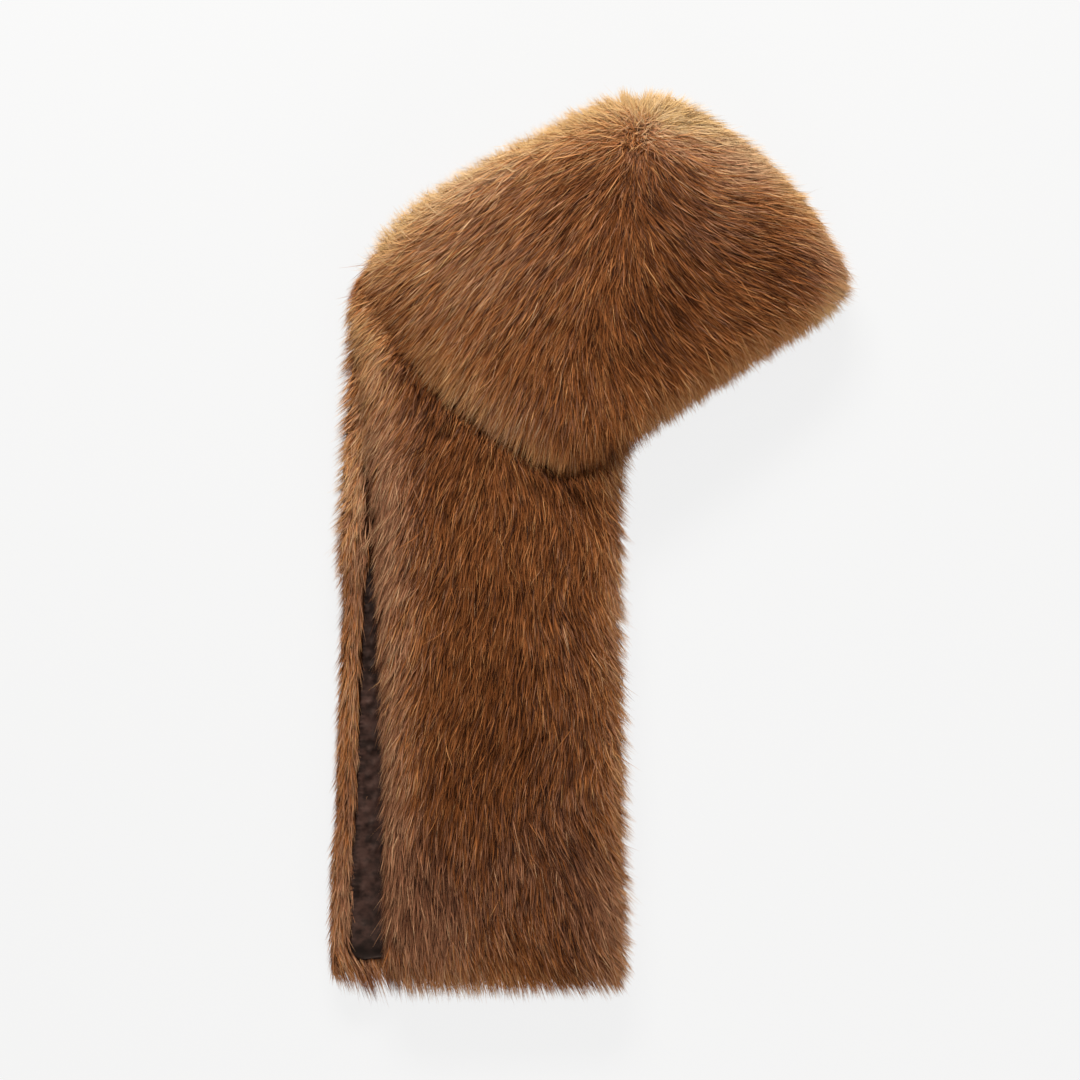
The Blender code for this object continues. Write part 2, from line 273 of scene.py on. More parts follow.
def dye_ramp(tree, value, stops):
    """The colour that a value picks from a run of colours, each at its place from 0 to 1."""
    node = dye_node(tree, "ValToRGB", {"Fac": value})
    run = node.color_ramp.elements
    for element, (place, colour) in zip((run[0], run[1]), (stops[0], stops[-1])):
        element.position = place
        element.color = (*colour, 1.0)
    for place, colour in stops[1:-1]:
        run.new(place).color = (*colour, 1.0)
    return node.outputs["Color"]


# A hair's tone is its place across the UV map. How far along the hair a point is, from its root, is
# its place up the map, and the greyer hairs lie higher up on it than the brown ones.
HAIR_V_ROOT = 0.04
HAIR_V_SPAN = 0.30
HAIR_V_TAUPE = 0.50
PAST_BROWN = 1.3

# Where along a hair the dye begins and is full, and where the pale tip does, as shares of its length.
DYE_SHARES = (0.45, 1.05)
TIP_SHARES = (0.85, 1.25)
# Lighter hairs, among them those with the rims' painted highlight, leave the dark root sooner.
LIT_SOONER = 0.50
PALE_FROM_TONE = 0.28
PALE_FULL_TONE = 0.85
PALE_MOST = 0.80

TAUPE_SATURATION = 0.88
# The root brown is partly the hair's darker base and partly painted shade deep in the pile, between the
# hairs.
ROOT_BROWN_AND_PAINTED_SHADE = (0.018, 0.0050, 0.0015)
RUST_BROWN = (0.190, 0.056, 0.0140)
MID_BROWN = (0.400, 0.136, 0.0400)
TAN_BROWN = (0.550, 0.232, 0.082)
GOLD_BROWN = (0.610, 0.382, 0.145)
PALE_TIP = (0.600, 0.388, 0.172)
# The gold end of the run is reached mostly where the rims' painted highlight raises the tone.
PILE_RUN = ((0.0, ROOT_BROWN_AND_PAINTED_SHADE), (0.20, RUST_BROWN), (0.50, MID_BROWN), (0.75, TAN_BROWN), (0.95, GOLD_BROWN))
PILE_SHADER = {"Roughness": 0.50, "Specular IOR Level": 0.06}


def share_along(tree, along_hair, low, high):
    """0 nearer the root than low and 1 past high, with a smooth way between."""
    inputs = {
        "Value": along_hair,
        "From Min": HAIR_V_ROOT + HAIR_V_SPAN * low,
        "From Max": HAIR_V_ROOT + HAIR_V_SPAN * high,
    }
    return dye_node(tree, "MapRange", inputs, interpolation_type="SMOOTHSTEP").outputs["Result"]


def pile_material(name):
    """Dyed acrylic hair: dark at its root, partly its dye and partly painted shade deep in the pile, from
    rust to gold along it, and paler at its tip.
    """
    material, shader = new_finish(name, PILE_SHADER)
    tree = material.node_tree
    place = dye_node(tree, "UVMap", {}, uv_map="OFBake").outputs["UV"]
    parts = dye_node(tree, "SeparateXYZ", {0: place})
    tone = parts.outputs["X"]
    up_map = parts.outputs["Y"]
    greyer = dye_sum(tree, "GREATER_THAN", up_map, HAIR_V_ROOT + HAIR_V_SPAN * PAST_BROWN)
    on_hair = dye_sum(tree, "MULTIPLY_ADD", greyer, -HAIR_V_TAUPE, up_map)
    along_hair = dye_sum(tree, "MULTIPLY_ADD", tone, HAIR_V_SPAN * LIT_SOONER, on_hair)

    dye_share = share_along(tree, along_hair, *DYE_SHARES)
    dyed = dye_mix(tree, dye_share, ROOT_BROWN_AND_PAINTED_SHADE, dye_ramp(tree, tone, PILE_RUN))
    limits = {"From Min": PALE_FROM_TONE, "From Max": PALE_FULL_TONE, "To Min": 0.0, "To Max": PALE_MOST}
    paler = dye_node(tree, "MapRange", {"Value": tone, **limits}).outputs["Result"]
    tip_share = dye_sum(tree, "MULTIPLY", share_along(tree, along_hair, *TIP_SHARES), paler)
    to_tip = dye_mix(tree, tip_share, dyed, PALE_TIP)
    saturation = dye_sum(tree, "MULTIPLY_ADD", greyer, TAUPE_SATURATION - 1.0, 1.0)
    paled = dye_node(tree, "HueSaturation", {"Color": to_tip, "Saturation": saturation})
    feed(tree, shader.inputs["Base Color"], paled.outputs["Color"])
    return material


GROUND_BROWN = (0.055, 0.017, 0.005)
GAP_BROWN = (0.022, 0.007, 0.002)
GROUND_SHADER = {"Roughness": 0.9, "Specular IOR Level": 0.1}
GROUND_GRAIN = 420.0
GROUND_DETAIL = 3.0


def ground_material(name):
    """The knitted ground with the short underhair on it: dull and dark, in fine flecks."""
    material, shader = new_finish(name, GROUND_SHADER)
    tree = material.node_tree
    place = dye_node(tree, "TexCoord", {}).outputs["Object"]
    grain = dye_node(tree, "TexNoise", {"Vector": place, "Scale": GROUND_GRAIN, "Detail": GROUND_DETAIL})
    flecks = dye_mix(tree, grain.outputs["Fac"], GAP_BROWN, GROUND_BROWN)
    feed(tree, shader.inputs["Base Color"], flecks)
    return material


pile_finish = pile_material("brown_pile")
ground_dye = ground_material("brown_ground")

GROUND_ROUNDS = 6
GROUND_EASE = 0.5
FACING_DOWN = -0.6


def fur_ground(name, form, loft, edges, open_below=False):
    """The knitted ground under the pile: the form drawn in by its loft, and by edges in x and y at its edges.

    Where it is open below, the faces that look down at the next layer are left out.
    """
    points, normals = form["points"], form["normals"]
    depth = depth_at(form, points, normals, loft, GROUND_SHARE)
    beside = normals * np.maximum(np.array((*edges, 0.0)) - depth[:, None], 0)
    drawn = points - normals * depth[:, None] - beside
    drawn[:, 1] = np.maximum(drawn[:, 1], points[:, 1].min() + edges[1])
    mesh = form["mesh"].copy()
    mesh.name = name
    mesh.vertices.foreach_set("co", drawn.astype(np.float32).ravel())
    work = bmesh.new()
    work.from_mesh(mesh)
    axes = {"use_axis_x": True, "use_axis_y": True, "use_axis_z": True}
    for _ in range(GROUND_ROUNDS):
        bmesh.ops.smooth_vert(work, verts=work.verts, factor=GROUND_EASE, **axes)
    work.normal_update()
    hidden = [face for face in work.faces if open_below and face.normal.z <= FACING_DOWN]
    bmesh.ops.delete(work, geom=hidden, context="FACES")
    work.to_mesh(mesh)
    work.free()
    mesh.shade_smooth()
    mesh.materials.clear()
    mesh.materials.append(ground_dye)
    return put_in_scene(name, mesh)


# How the pile stands out sideways at an edge.
EDGE_STAND = 0.40
EDGE_REACH = 0.0012
EDGE_TURN = 1.5
BESIDE_ONLY = np.array((1.0, 1.0, 0.3))
LEAST_LIFT = 0.35


def turned_flow(flat, normals):
    """The brushing direction on the table, turned with the surface so that it runs along it."""
    across = (normals * flat).sum(1, keepdims=True)
    lift = np.maximum(1 + normals[:, 2:3], LEAST_LIFT)
    turned = flat - across / lift * (normals + np.array((0.0, 0.0, 1.0)))
    return turned - (turned * normals).sum(1, keepdims=True) * normals


def heading_at(form, flow, points, normals, astray):
    """Along the surface on top, but straight out over an edge that the pile is brushed towards.

    astray is how far off each hair takes its place to be, which mixes the hairs where the pile parts.
    """
    flat = flow(points + astray)
    most = form["outward"](points)
    outward = np.clip(EDGE_TURN * (normals * flat).sum(1), 0.0, most)[:, None]
    stand = EDGE_STAND * np.reshape(most, (-1, 1)) * np.clip(1 - np.abs(normals[:, 2:3]), 0, 1)
    beside = normals * BESIDE_ONLY * stand
    return unit(turned_flow(flat, normals) * (1 - outward) + flat * outward + beside)


def smooth_normals(form, points):
    """The nearest places on the rounded form, and its normals there, read from its three nearest corners."""
    hits = [form["tree"].find_nearest(point) for point in points.tolist()]
    corners = form["triangles"][[hit[2] for hit in hits]]
    place = np.array([hit[0][:] for hit in hits])
    a, b, c = (form["points"][corners[:, k]] for k in range(3))
    whole = np.linalg.norm(np.cross(b - a, c - a), axis=1) + 1e-12
    share_a = np.linalg.norm(np.cross(b - place, c - place), axis=1) / whole
    share_b = np.linalg.norm(np.cross(c - place, a - place), axis=1) / whole
    share_c = 1 - share_a - share_b
    n = form["normals"]
    mixed = (
        n[corners[:, 0]] * share_a[:, None]
        + n[corners[:, 1]] * share_b[:, None]
        + n[corners[:, 2]] * share_c[:, None]
    )
    return place, unit(mixed)


# The roots are picked from more places than are needed, and thinned to one in each cell of a grid.
SPARE_PLACES = 7
CELL_SHRINK = 0.95
GRID_MIDDLE = 4000
GRID_SPAN = 9000


def spread_roots(form, shown, count, chance):
    """Places spread evenly over the form, as hair is on a knitted ground, and the normals there.

    shown(points, normals) is how thickly the pile shows at each place.
    """
    corners = form["points"][form["triangles"]]
    normals = form["normals"][form["triangles"]]
    sides = corners[:, 1:] - corners[:, :1]
    area = 0.5 * np.linalg.norm(np.cross(sides[:, 0], sides[:, 1]), axis=1)
    weight = area * shown(corners.mean(1), unit(normals.mean(1)))
    picked = chance.choice(len(area), SPARE_PLACES * count, p=weight / weight.sum())
    share = chance.random((SPARE_PLACES * count, 2))
    flip = share.sum(1) > 1
    share[flip] = 1 - share[flip]
    share = np.column_stack((1 - share.sum(1), share))
    place = (corners[picked] * share[:, :, None]).sum(1)
    cell = (area.sum() / count) ** 0.5
    kept = []
    while len(kept) < count:
        cell *= CELL_SHRINK
        column, row, layer = (np.floor(place / cell).astype(int) + GRID_MIDDLE).T
        kept = np.unique((column * GRID_SPAN + row) * GRID_SPAN + layer, return_index=True)[1]
    kept = np.sort(chance.permutation(kept)[:count])
    normal = unit((normals[picked[kept]] * share[kept][:, :, None]).sum(1))
    return place[kept], normal


# The tufts: how many locks lean to one leader, how near to it, and how much where the pile lies flat.
LOCKS_PER_TUFT = 26
TUFT_REACH = 0.008
TUFT_NEAR = 1.6
TUFT_BESIDE = 1.6
TUFT_INSIDE = 0.08
TUFT_CURVE = 1.8


def tufted(lines, t, normal, most, chance):
    """The locks drawn towards the leaders of their tufts: most at their tips, and at the form's sides."""
    count = lines.shape[1]
    leaders = chance.choice(count, count // LOCKS_PER_TUFT, replace=False)
    leader_tree = KDTree(len(leaders))
    for index, leader in enumerate(leaders):
        leader_tree.insert(lines[-2][leader], index)
    leader_tree.balance()
    found = [leader_tree.find(point) for point in lines[-2].tolist()]
    leader = leaders[[hit[1] for hit in found]]
    close = np.clip(TUFT_NEAR - np.array([hit[2] for hit in found]) / TUFT_REACH, 0, 1)
    beside = np.clip(TUFT_BESIDE * (1 - np.abs(normal[:, 2])), TUFT_INSIDE, 1)
    pull = t[:, None] ** TUFT_CURVE * (most * close * beside)[None, :]
    return lines + (lines[:, leader] - lines) * pull[..., None]


# Each lock's middle line: its steps, the share of it that has come up to the form, and how steeply its
# root goes down. Sizes run from SHORT_LOCK of the full length upwards.
LOCK_STEPS = 6
LOCK_SURFACED = 0.88
LOCK_SINK = 2.1
SHORT_LOCK = 0.75
LOCK_SPREAD = 0.50
PARTING_MIX = 0.0065
TIP_LIFT = 0.0008
LOCK_STRAIGHT = 0.4
LOCK_TURNED = 0.6


def lay_locks(form, flow, length, shown, seed, count, loft):
    """The middle lines of the locks, from root to tip: each rises from deep in the pile to the form.

    flow(points) is the way that the pile is brushed, and length(points) is its full length.
    """
    chance = np.random.default_rng(seed)
    place, normal = spread_roots(form, shown, count, chance)
    deep = depth_at(form, place, normal, loft, ROOT_SHARE)
    size = length(place) * (SHORT_LOCK + LOCK_SPREAD * chance.random(count))
    back = LOCK_SURFACED * size / (LOCK_STEPS - 1)
    sink = np.linspace(0, 1, LOCK_STEPS) ** LOCK_SINK
    astray = PARTING_MIX * chance.standard_normal((count, 3)) * np.array((1.0, 1.0, 0.0))
    along = heading_at(form, flow, place, normal, astray)
    over_edge = np.clip((along * normal).sum(1), 0, 1)
    tip = place + along * ((1 - LOCK_SURFACED) * size + form["reach"](place) * over_edge)[:, None]
    lines = [tip + normal * TIP_LIFT, place]
    ups = [normal, normal]
    for step in range(1, LOCK_STEPS):
        behind = lines[-1] - along * back[:, None]
        surface, normal = smooth_normals(form, behind)
        under = ((surface - behind) * normal).sum(1)
        wanted = deep * sink[step]
        shallow = under < wanted
        behind[shallow] = surface[shallow] - normal[shallow] * wanted[shallow, None]
        normal = unit(np.where(shallow[:, None], normal, ups[-1]))
        along = unit(along * LOCK_STRAIGHT + LOCK_TURNED * heading_at(form, flow, behind, normal, astray))
        lines.append(behind)
        ups.append(normal)
    t = np.concatenate((np.linspace(0, LOCK_SURFACED, LOCK_STEPS), (1.0,)))
    return {
        "lines": tufted(np.array(lines[::-1]), t, ups[0], form["tuft_pull"](place), chance),
        "ups": np.array(ups[::-1]),
        "t": t,
        "size": size,
        "edge": over_edge,
        "chance": chance,
    }


def along_lines(values, t, at):
    """Each lock's values read at the shares at of its length: at has a row for each hair."""
    index = np.clip(np.searchsorted(t, at, side="right") - 1, 0, len(t) - 2)
    share = (at - t[index]) / (t[index + 1] - t[index])
    which = np.arange(values.shape[1])[:, None]
    return values[index, which] * (1 - share[..., None]) + values[index + 1, which] * share[..., None]


# How a whole lock bends and rises, and how its hairs differ from it. Of each pair, the first is for a
# loose hair and the second for one that lies with its lock. Rises and waves are in metres.
LOCK_BEND = 0.06
LOCK_RISE = 0.0005
LONGEST_HAIR = 1.08
CUT_UNEVEN = 0.32
CUT_EVEN_AT_EDGE = 0.18
ROW_CURVE = 0.8
DRAWN_TOGETHER = (0.2, 0.80)
DRAWN_CURVE = 1.2
HAIR_BEND = (0.16, 0.045)
HAIR_RISE = (0.0016, 0.0008)
HAIR_WAVE = 0.0003
WAVE_LENGTH = 4.5
FULL_TURN = 6.28
HAIR_SUNK = 0.0018
HAIR_SHIFT = 1.2
BLADE_ROLL = 0.75
THIN_BLADE = 0.7
BLADE_SPREAD = 0.6
BLADE_TAPER = 0.55
LEAST_HAIR_Z = 0.0003


def hair_paths(locks, per_lock, lock_width, hair_width, rows, stray):
    """Each hair's middle line, half its blade's width to one side, and each row's share of the length."""
    chance = locks["chance"]
    lines = np.repeat(locks["lines"], per_lock, axis=1)
    ups = np.repeat(locks["ups"], per_lock, axis=1)
    size = np.repeat(locks["size"], per_lock)[:, None]
    count = lines.shape[1]

    def differing():
        return chance.standard_normal(count)[:, None]

    def any_share():
        return chance.random(count)[:, None]

    lock_bend = np.repeat(LOCK_BEND * chance.standard_normal(count // per_lock), per_lock)[:, None]
    lock_rise = np.repeat(LOCK_RISE * chance.standard_normal(count // per_lock), per_lock)[:, None]
    uneven = (CUT_UNEVEN - CUT_EVEN_AT_EDGE * np.repeat(locks["edge"], per_lock))[:, None]
    reach = LONGEST_HAIR - uneven * any_share()
    along = (np.linspace(0.0, 1.0, rows) ** ROW_CURVE)[None, :]
    at = along * reach
    path = along_lines(lines, locks["t"], at)
    up = unit(along_lines(ups, locks["t"], at))
    heading = unit(np.gradient(path, axis=1))
    side = unit(np.cross(heading, up))
    loose = any_share() < stray
    spread = lock_width * 0.5 * differing()
    drawn = (1 - np.where(loose, *DRAWN_TOGETHER) * along**DRAWN_CURVE) * spread
    bend = (lock_bend + np.where(loose, *HAIR_BEND) * differing()) * at**2 * size
    wave = HAIR_WAVE * np.sin(along * WAVE_LENGTH + FULL_TURN * any_share())
    rise = (lock_rise + np.where(loose, *HAIR_RISE) * np.abs(differing())) * at
    sunk = -HAIR_SUNK * any_share()
    shift = lock_width * HAIR_SHIFT * (any_share() - 0.5)
    path = path + side * (drawn + bend + wave * any_share())[..., None]
    path = path + up * (rise + sunk)[..., None] + heading * shift[..., None]
    path[..., 2] = np.maximum(path[..., 2], LEAST_HAIR_Z)
    roll = BLADE_ROLL * differing()[..., None]
    blade = unit(side * np.cos(roll) + up * np.sin(roll))
    wide = hair_width * (THIN_BLADE + BLADE_SPREAD * any_share()) * (1 - BLADE_TAPER * along)
    return path, blade * 0.5 * wide[..., None], at


def blade_mesh(name, path, half_blade):
    """The blades as one mesh, with two corners at each row of a hair and one at its tip.

    The second result is the point at each corner of each face, in turn.
    """
    count, rows = path.shape[:2]
    own = 2 * (rows - 1) + 1
    points = np.empty((count, own, 3), np.float32)
    points[:, 0 : own - 1 : 2] = (path - half_blade)[:, :-1]
    points[:, 1 : own - 1 : 2] = (path + half_blade)[:, :-1]
    points[:, -1] = path[:, -1]
    points[..., 2] = np.maximum(points[..., 2], LEAST_HAIR_Z)
    last = own - 3
    pairs = range(0, 2 * (rows - 2), 2)
    pattern = [corner for pair in pairs for corner in (pair, pair + 1, pair + 3, pair + 2)]
    pattern += [last, last + 1, own - 1]
    loops = (np.arange(count)[:, None] * own + np.array(pattern)[None, :]).ravel()
    loop_total = np.tile([4] * (rows - 2) + [3], count)
    loop_start = np.concatenate(((0,), np.cumsum(loop_total)[:-1]))
    mesh = bpy.data.meshes.new(name)
    mesh.vertices.add(count * own)
    mesh.vertices.foreach_set("co", points.ravel())
    mesh.loops.add(len(loops))
    mesh.loops.foreach_set("vertex_index", loops.astype(np.int32))
    mesh.polygons.add(len(loop_total))
    mesh.polygons.foreach_set("loop_start", loop_start.astype(np.int32))
    mesh.polygons.foreach_set("loop_total", loop_total.astype(np.int32))
    mesh.update(calc_edges=True)
    return mesh, loops


# How the hairs of one lock differ in tone, and how little they do where the lock is light. Each blade
# takes a narrow strip of the UV map.
HAIR_TONE_SPREAD = 0.12
DARK_HAIRS = 0.20
DARKER = -0.18
LIGHTER = 0.035
EVEN_WHERE_LIGHT = 0.65
LIGHT_FROM = 0.45
LIGHT_OVER = 0.40
LEAST_TONE = 0.01
MOST_TONE = 0.97
STRIP_ACROSS = 0.004


def hairs(name, locks, tone, taupe, per_lock, lock_width, hair_width, rows, stray, mixed=1.0):
    """The hairs of the locks as one mesh: thin blades that taper to a point, drawn together at their tips.

    tone(points, normals, chance) is how light each lock is, and taupe(points) is the share of its hairs
    that are greyer. stray is the share of loose hairs, and mixed is how much a lock's hairs differ in tone.
    """
    chance = locks["chance"]
    surfaced = locks["lines"][-2]
    lock_tone = np.repeat(tone(surfaced, locks["ups"][-2], chance), per_lock)
    path, half_blade, at = hair_paths(locks, per_lock, lock_width, hair_width, rows, stray)
    mesh, loops = blade_mesh(name, path, half_blade)

    count = len(path)
    own_tone = HAIR_TONE_SPREAD * chance.standard_normal(count)
    own_tone += np.where(chance.random(count) < DARK_HAIRS, DARKER, LIGHTER)
    own_tone *= mixed * (1 - EVEN_WHERE_LIGHT * np.clip((lock_tone - LIGHT_FROM) / LIGHT_OVER, 0, 1))
    shade = np.clip(lock_tone + own_tone, LEAST_TONE, MOST_TONE)
    own = 2 * (rows - 1) + 1
    u = np.repeat(shade[:, None], own, axis=1)
    u[:, 1::2] += STRIP_ACROSS
    u[:, -1] += STRIP_ACROSS / 2
    v = np.empty((count, own))
    v[:, 0 : own - 1 : 2] = at[:, :-1]
    v[:, 1 : own - 1 : 2] = at[:, :-1]
    v[:, -1] = at[:, -1]
    greyer = chance.random(count) < np.repeat(taupe(surfaced), per_lock)
    v = HAIR_V_ROOT + HAIR_V_SPAN * v + HAIR_V_TAUPE * greyer[:, None]
    uv = np.stack((u.ravel()[loops], v.ravel()[loops]), axis=1)
    mesh.uv_layers.new(name="OFBake").data.foreach_set("uv", uv.astype(np.float32).ravel())
    mesh.shade_smooth()
    mesh.materials.append(pile_finish)
    return put_in_scene(name, mesh)


# The collar's edges: the one that faces away from the tail, from the pleat round to the fold's far
# corner, then the fold, and then the low edge back to the pleat.
BACK_EDGE = (
    (-0.156, 0.204),
    (-0.131, 0.232),
    (-0.085, 0.262),
    (-0.009, 0.302),
    (0.018, 0.312),
    (0.050, 0.314),
    (0.068, 0.306),
)
FOLD_EDGE = ((0.068, 0.306), (0.130, 0.262), (0.166, 0.220), (0.181, 0.188), (0.165, 0.157))
LOW_EDGE = ((0.165, 0.157), (0.118, 0.130), (0.080, 0.106), (0.040, 0.078))


def apart_from_line(line, x, y):
    """How far each place is from a line of straight stretches."""
    best = np.full(len(x), 1.0)
    for (ax, ay), (bx, by) in zip(line, line[1:]):
        share = ((x - ax) * (bx - ax) + (y - ay) * (by - ay)) / ((bx - ax) ** 2 + (by - ay) ** 2)
        share = np.clip(share, 0, 1)
        best = np.minimum(best, np.hypot(x - ax - share * (bx - ax), y - ay - share * (by - ay)))
    return best


def towards_tail(x):
    """1 on the side of the crown that the tail hangs on, and 0 on its other side."""
    return smooth_share(falling(x, end=0.015, over=0.040))


# One point on the pleat's edge, and the way across the pleat.
PLEAT_X = -0.094
PLEAT_Y = 0.110
ACROSS_X = 0.67
ACROSS_Y = 0.74


def past_pleat(x, y):
    """How far each place is past the pleat's edge, towards the collar's middle."""
    return (x - PLEAT_X) * ACROSS_X + (y - PLEAT_Y) * ACROSS_Y


# Strokes of the brush on the collar: the place of each, and how many degrees it leans to the
# left of straight down.
COLLAR_STROKES = (
    (-0.12, 0.21, 60), (-0.15, 0.15, 50), (-0.08, 0.20, 45), (-0.11, 0.14, 40),
    (-0.07, 0.15, 35), (-0.09, 0.11, 30), (-0.04, 0.20, 45), (-0.03, 0.15, 30),
    (-0.04, 0.09, 20), (0.00, 0.18, 25), (0.00, 0.10, -10), (0.03, 0.16, -20),
    (0.04, 0.12, -35), (0.07, 0.18, -40), (0.08, 0.13, -50), (0.11, 0.17, -65),
    (0.13, 0.21, -75), (0.16, 0.18, -60), (0.11, 0.25, -90), (0.07, 0.24, -50),
    (-0.06, 0.26, 50), (-0.01, 0.27, 60),
)
STROKE_REACH = 0.024
STROKE_FALL = 2.5


def brushed_along(strokes, points):
    """The way the pile lies at each place, between the strokes of the brush round it."""
    strokes = np.array(strokes)
    lean = np.radians(strokes[:, 2])
    apart = ((points[:, None, :2] - strokes[None, :, :2]) ** 2).sum(2)
    weight = 1 / (apart + STROKE_REACH**2) ** STROKE_FALL
    weight /= weight.sum(1, keepdims=True)
    way = np.column_stack((-weight @ np.sin(lean), -weight @ np.cos(lean), np.zeros(len(points))))
    return unit(way)


# The crown, where the strokes take over from it, and how the pile is turned at the low and back edges.
CROWN = np.array((0.0343, 0.2849))
CROWN_MIDDLE = 0.006
CROWN_SWIRL = 0.3
SWIRL_REACH = 0.012
STROKES_FROM = 0.030
STROKES_OVER = 0.040
LOW_EDGE_TURN = 0.75
LOW_EDGE_WIDTH = 0.010
LOW_EDGE_FULL = 1.15
LOW_EDGE_WAY = np.array((0.12, -1.0, 0.0))
BACK_EDGE_TURN = 0.85
BACK_EDGE_WIDTH = 0.012
BACK_EDGE_FULL = 1.3
BACK_EDGE_WAY = np.array((-0.35, 1.0, 0.0))


def crown_flow(points):
    """Brushed out from the crown, and farther off along the strokes of the brush.

    It hangs down at the low edge, and turns up over the back edge, but not down at the table.
    """
    out = points[:, :2] - CROWN
    size = np.linalg.norm(out, axis=1, keepdims=True)
    out = out / np.maximum(size, CROWN_MIDDLE)
    swirl = CROWN_SWIRL * np.exp(-size[:, 0] / SWIRL_REACH)
    out = out + np.column_stack((-out[:, 1], out[:, 0])) * swirl[:, None]
    out = np.column_stack((out, np.zeros(len(points))))
    far = smooth_share(rising(size, start=STROKES_FROM, over=STROKES_OVER))
    way = out * (1 - far) + brushed_along(COLLAR_STROKES, points) * far
    from_low = apart_from_line(LOW_EDGE, points[:, 0], points[:, 1])[:, None]
    turned_down = LOW_EDGE_TURN * smooth_share(LOW_EDGE_FULL - from_low / LOW_EDGE_WIDTH)
    way = way * (1 - turned_down) + LOW_EDGE_WAY * turned_down
    from_back = apart_from_line(BACK_EDGE, points[:, 0], points[:, 1])[:, None]
    near_back = smooth_share(BACK_EDGE_FULL - from_back / BACK_EDGE_WIDTH)
    turned_up = BACK_EDGE_TURN * near_back * towards_tail(points[:, :1])
    turned_up *= smooth_share(rising(points[:, 2:3], start=0.014, over=0.016))
    return way * (1 - turned_up) + BACK_EDGE_WAY * turned_up


SHOWN_BELOW = 0.04
SHOWN_BESIDE = 0.15
SHOWN_GAIN = 1.6
SHOWN_FROM_UP = -0.45


def shown_above(points, normals):
    """Full on top and at the sides, thin underneath."""
    return np.clip(SHOWN_BESIDE + SHOWN_GAIN * (normals[:, 2] - SHOWN_FROM_UP), SHOWN_BELOW, 1.0)


def patches_at(patches, x, y):
    """Slow changes over the fur: each patch has its middle, its half sizes and how much it adds."""
    added = np.zeros(len(x))
    for middle_x, middle_y, half_x, half_y, most in patches:
        added += most * np.exp(-(((x - middle_x) / half_x) ** 2) - ((y - middle_y) / half_y) ** 2)
    return added


# Where the collar's tone is lighter or darker: middle, half sizes, and how much lighter.
# The patches stand partly for the fur's own tone and partly for painted light and shade.
COLLAR_PATCHES = (
    (0.10, 0.25, 0.03, 0.02, 0.15),
    (0.06, 0.29, 0.02, 0.02, 0.15),
    (0.05, 0.24, 0.03, 0.02, -0.10),
    (0.05, 0.15, 0.04, 0.05, -0.10),
    (0.16, 0.17, 0.03, 0.03, -0.15),
    (-0.06, 0.19, 0.05, 0.05, 0.10),
    (0.02, 0.28, 0.03, 0.02, 0.10),
    (-0.10, 0.17, 0.03, 0.04, 0.15),
    (-0.06, 0.12, 0.04, 0.03, 0.05),
)

# The collar's tone, from 0 for root brown to 1 for gold, what each edge adds to it, and how far in.
COLLAR_TONE = 0.27
# The back edge and the fold get a painted golden highlight, where light from beyond the collar catches the
# rim.
BACK_RIM_PAINTED_HIGHLIGHT = 0.68
BACK_RIM_PAINTED_HIGHLIGHT_WIDTH = 0.024
BACK_RIM_PAINTED_HIGHLIGHT_CURVE = 1.3
FOLD_RIM_PAINTED_HIGHLIGHT = 0.56
FOLD_RIM_PAINTED_HIGHLIGHT_WIDTH = 0.014
# The low edge's fringe gets painted light.
LOW_FRINGE_PAINTED_LIGHT = 0.32
LOW_FRINGE_PAINTED_LIGHT_WIDTH = 0.009
PLEAT_TAN = 0.20
PLEAT_TAN_WIDTH = 0.024
LOCK_TONE_SPREAD = 0.06


def lock_spread(chance, count):
    """How the locks differ in tone."""
    return LOCK_TONE_SPREAD * chance.standard_normal(count)


def collar_tone(points, normals, chance):
    """Rust in the middle of the collar, a painted golden highlight round the back edge and the fold, and
    painted light on the low edge.
    """
    x, y = points[:, 0], points[:, 1]
    back = BACK_RIM_PAINTED_HIGHLIGHT * np.exp(-((apart_from_line(BACK_EDGE, x, y) / BACK_RIM_PAINTED_HIGHLIGHT_WIDTH) ** BACK_RIM_PAINTED_HIGHLIGHT_CURVE))
    fold = FOLD_RIM_PAINTED_HIGHLIGHT * np.exp(-apart_from_line(FOLD_EDGE, x, y) / FOLD_RIM_PAINTED_HIGHLIGHT_WIDTH)
    low = LOW_FRINGE_PAINTED_LIGHT * np.exp(-apart_from_line(LOW_EDGE, x, y) / LOW_FRINGE_PAINTED_LIGHT_WIDTH)
    at_pleat = np.clip(1 - past_pleat(x, y) / PLEAT_TAN_WIDTH, 0, 1)
    pleat = PLEAT_TAN * at_pleat * rising(x, start=-0.14, over=0.04)
    patch = patches_at(COLLAR_PATCHES, x, y)
    return COLLAR_TONE + patch + back + fold + low + pleat + lock_spread(chance, len(x))


# Where the collar has more of the greyer hairs: middle, half sizes, and how large a share more.
COLLAR_TAUPE = (
    (0.168, 0.195, 0.022, 0.030, 0.7),
    (-0.100, 0.265, 0.045, 0.030, 0.9),
    (0.115, 0.270, 0.030, 0.025, 1.0),
    (-0.085, 0.190, 0.060, 0.050, 0.5),
    (0.050, 0.280, 0.040, 0.040, 0.6),
    (0.090, 0.215, 0.030, 0.025, 0.5),
    (-0.060, 0.085, 0.060, 0.020, 0.4),
)
COLLAR_LEAST_TAUPE = 0.08


def collar_taupe(points):
    """The share of greyer hairs on the collar."""
    return np.clip(COLLAR_LEAST_TAUPE + patches_at(COLLAR_TAUPE, points[:, 0], points[:, 1]), 0, 1)


COLLAR_HAIR = 0.042
CROWN_HAIR_SHARE = 0.24
CROWN_HAIR_FROM = -0.008
CROWN_HAIR_OVER = 0.050


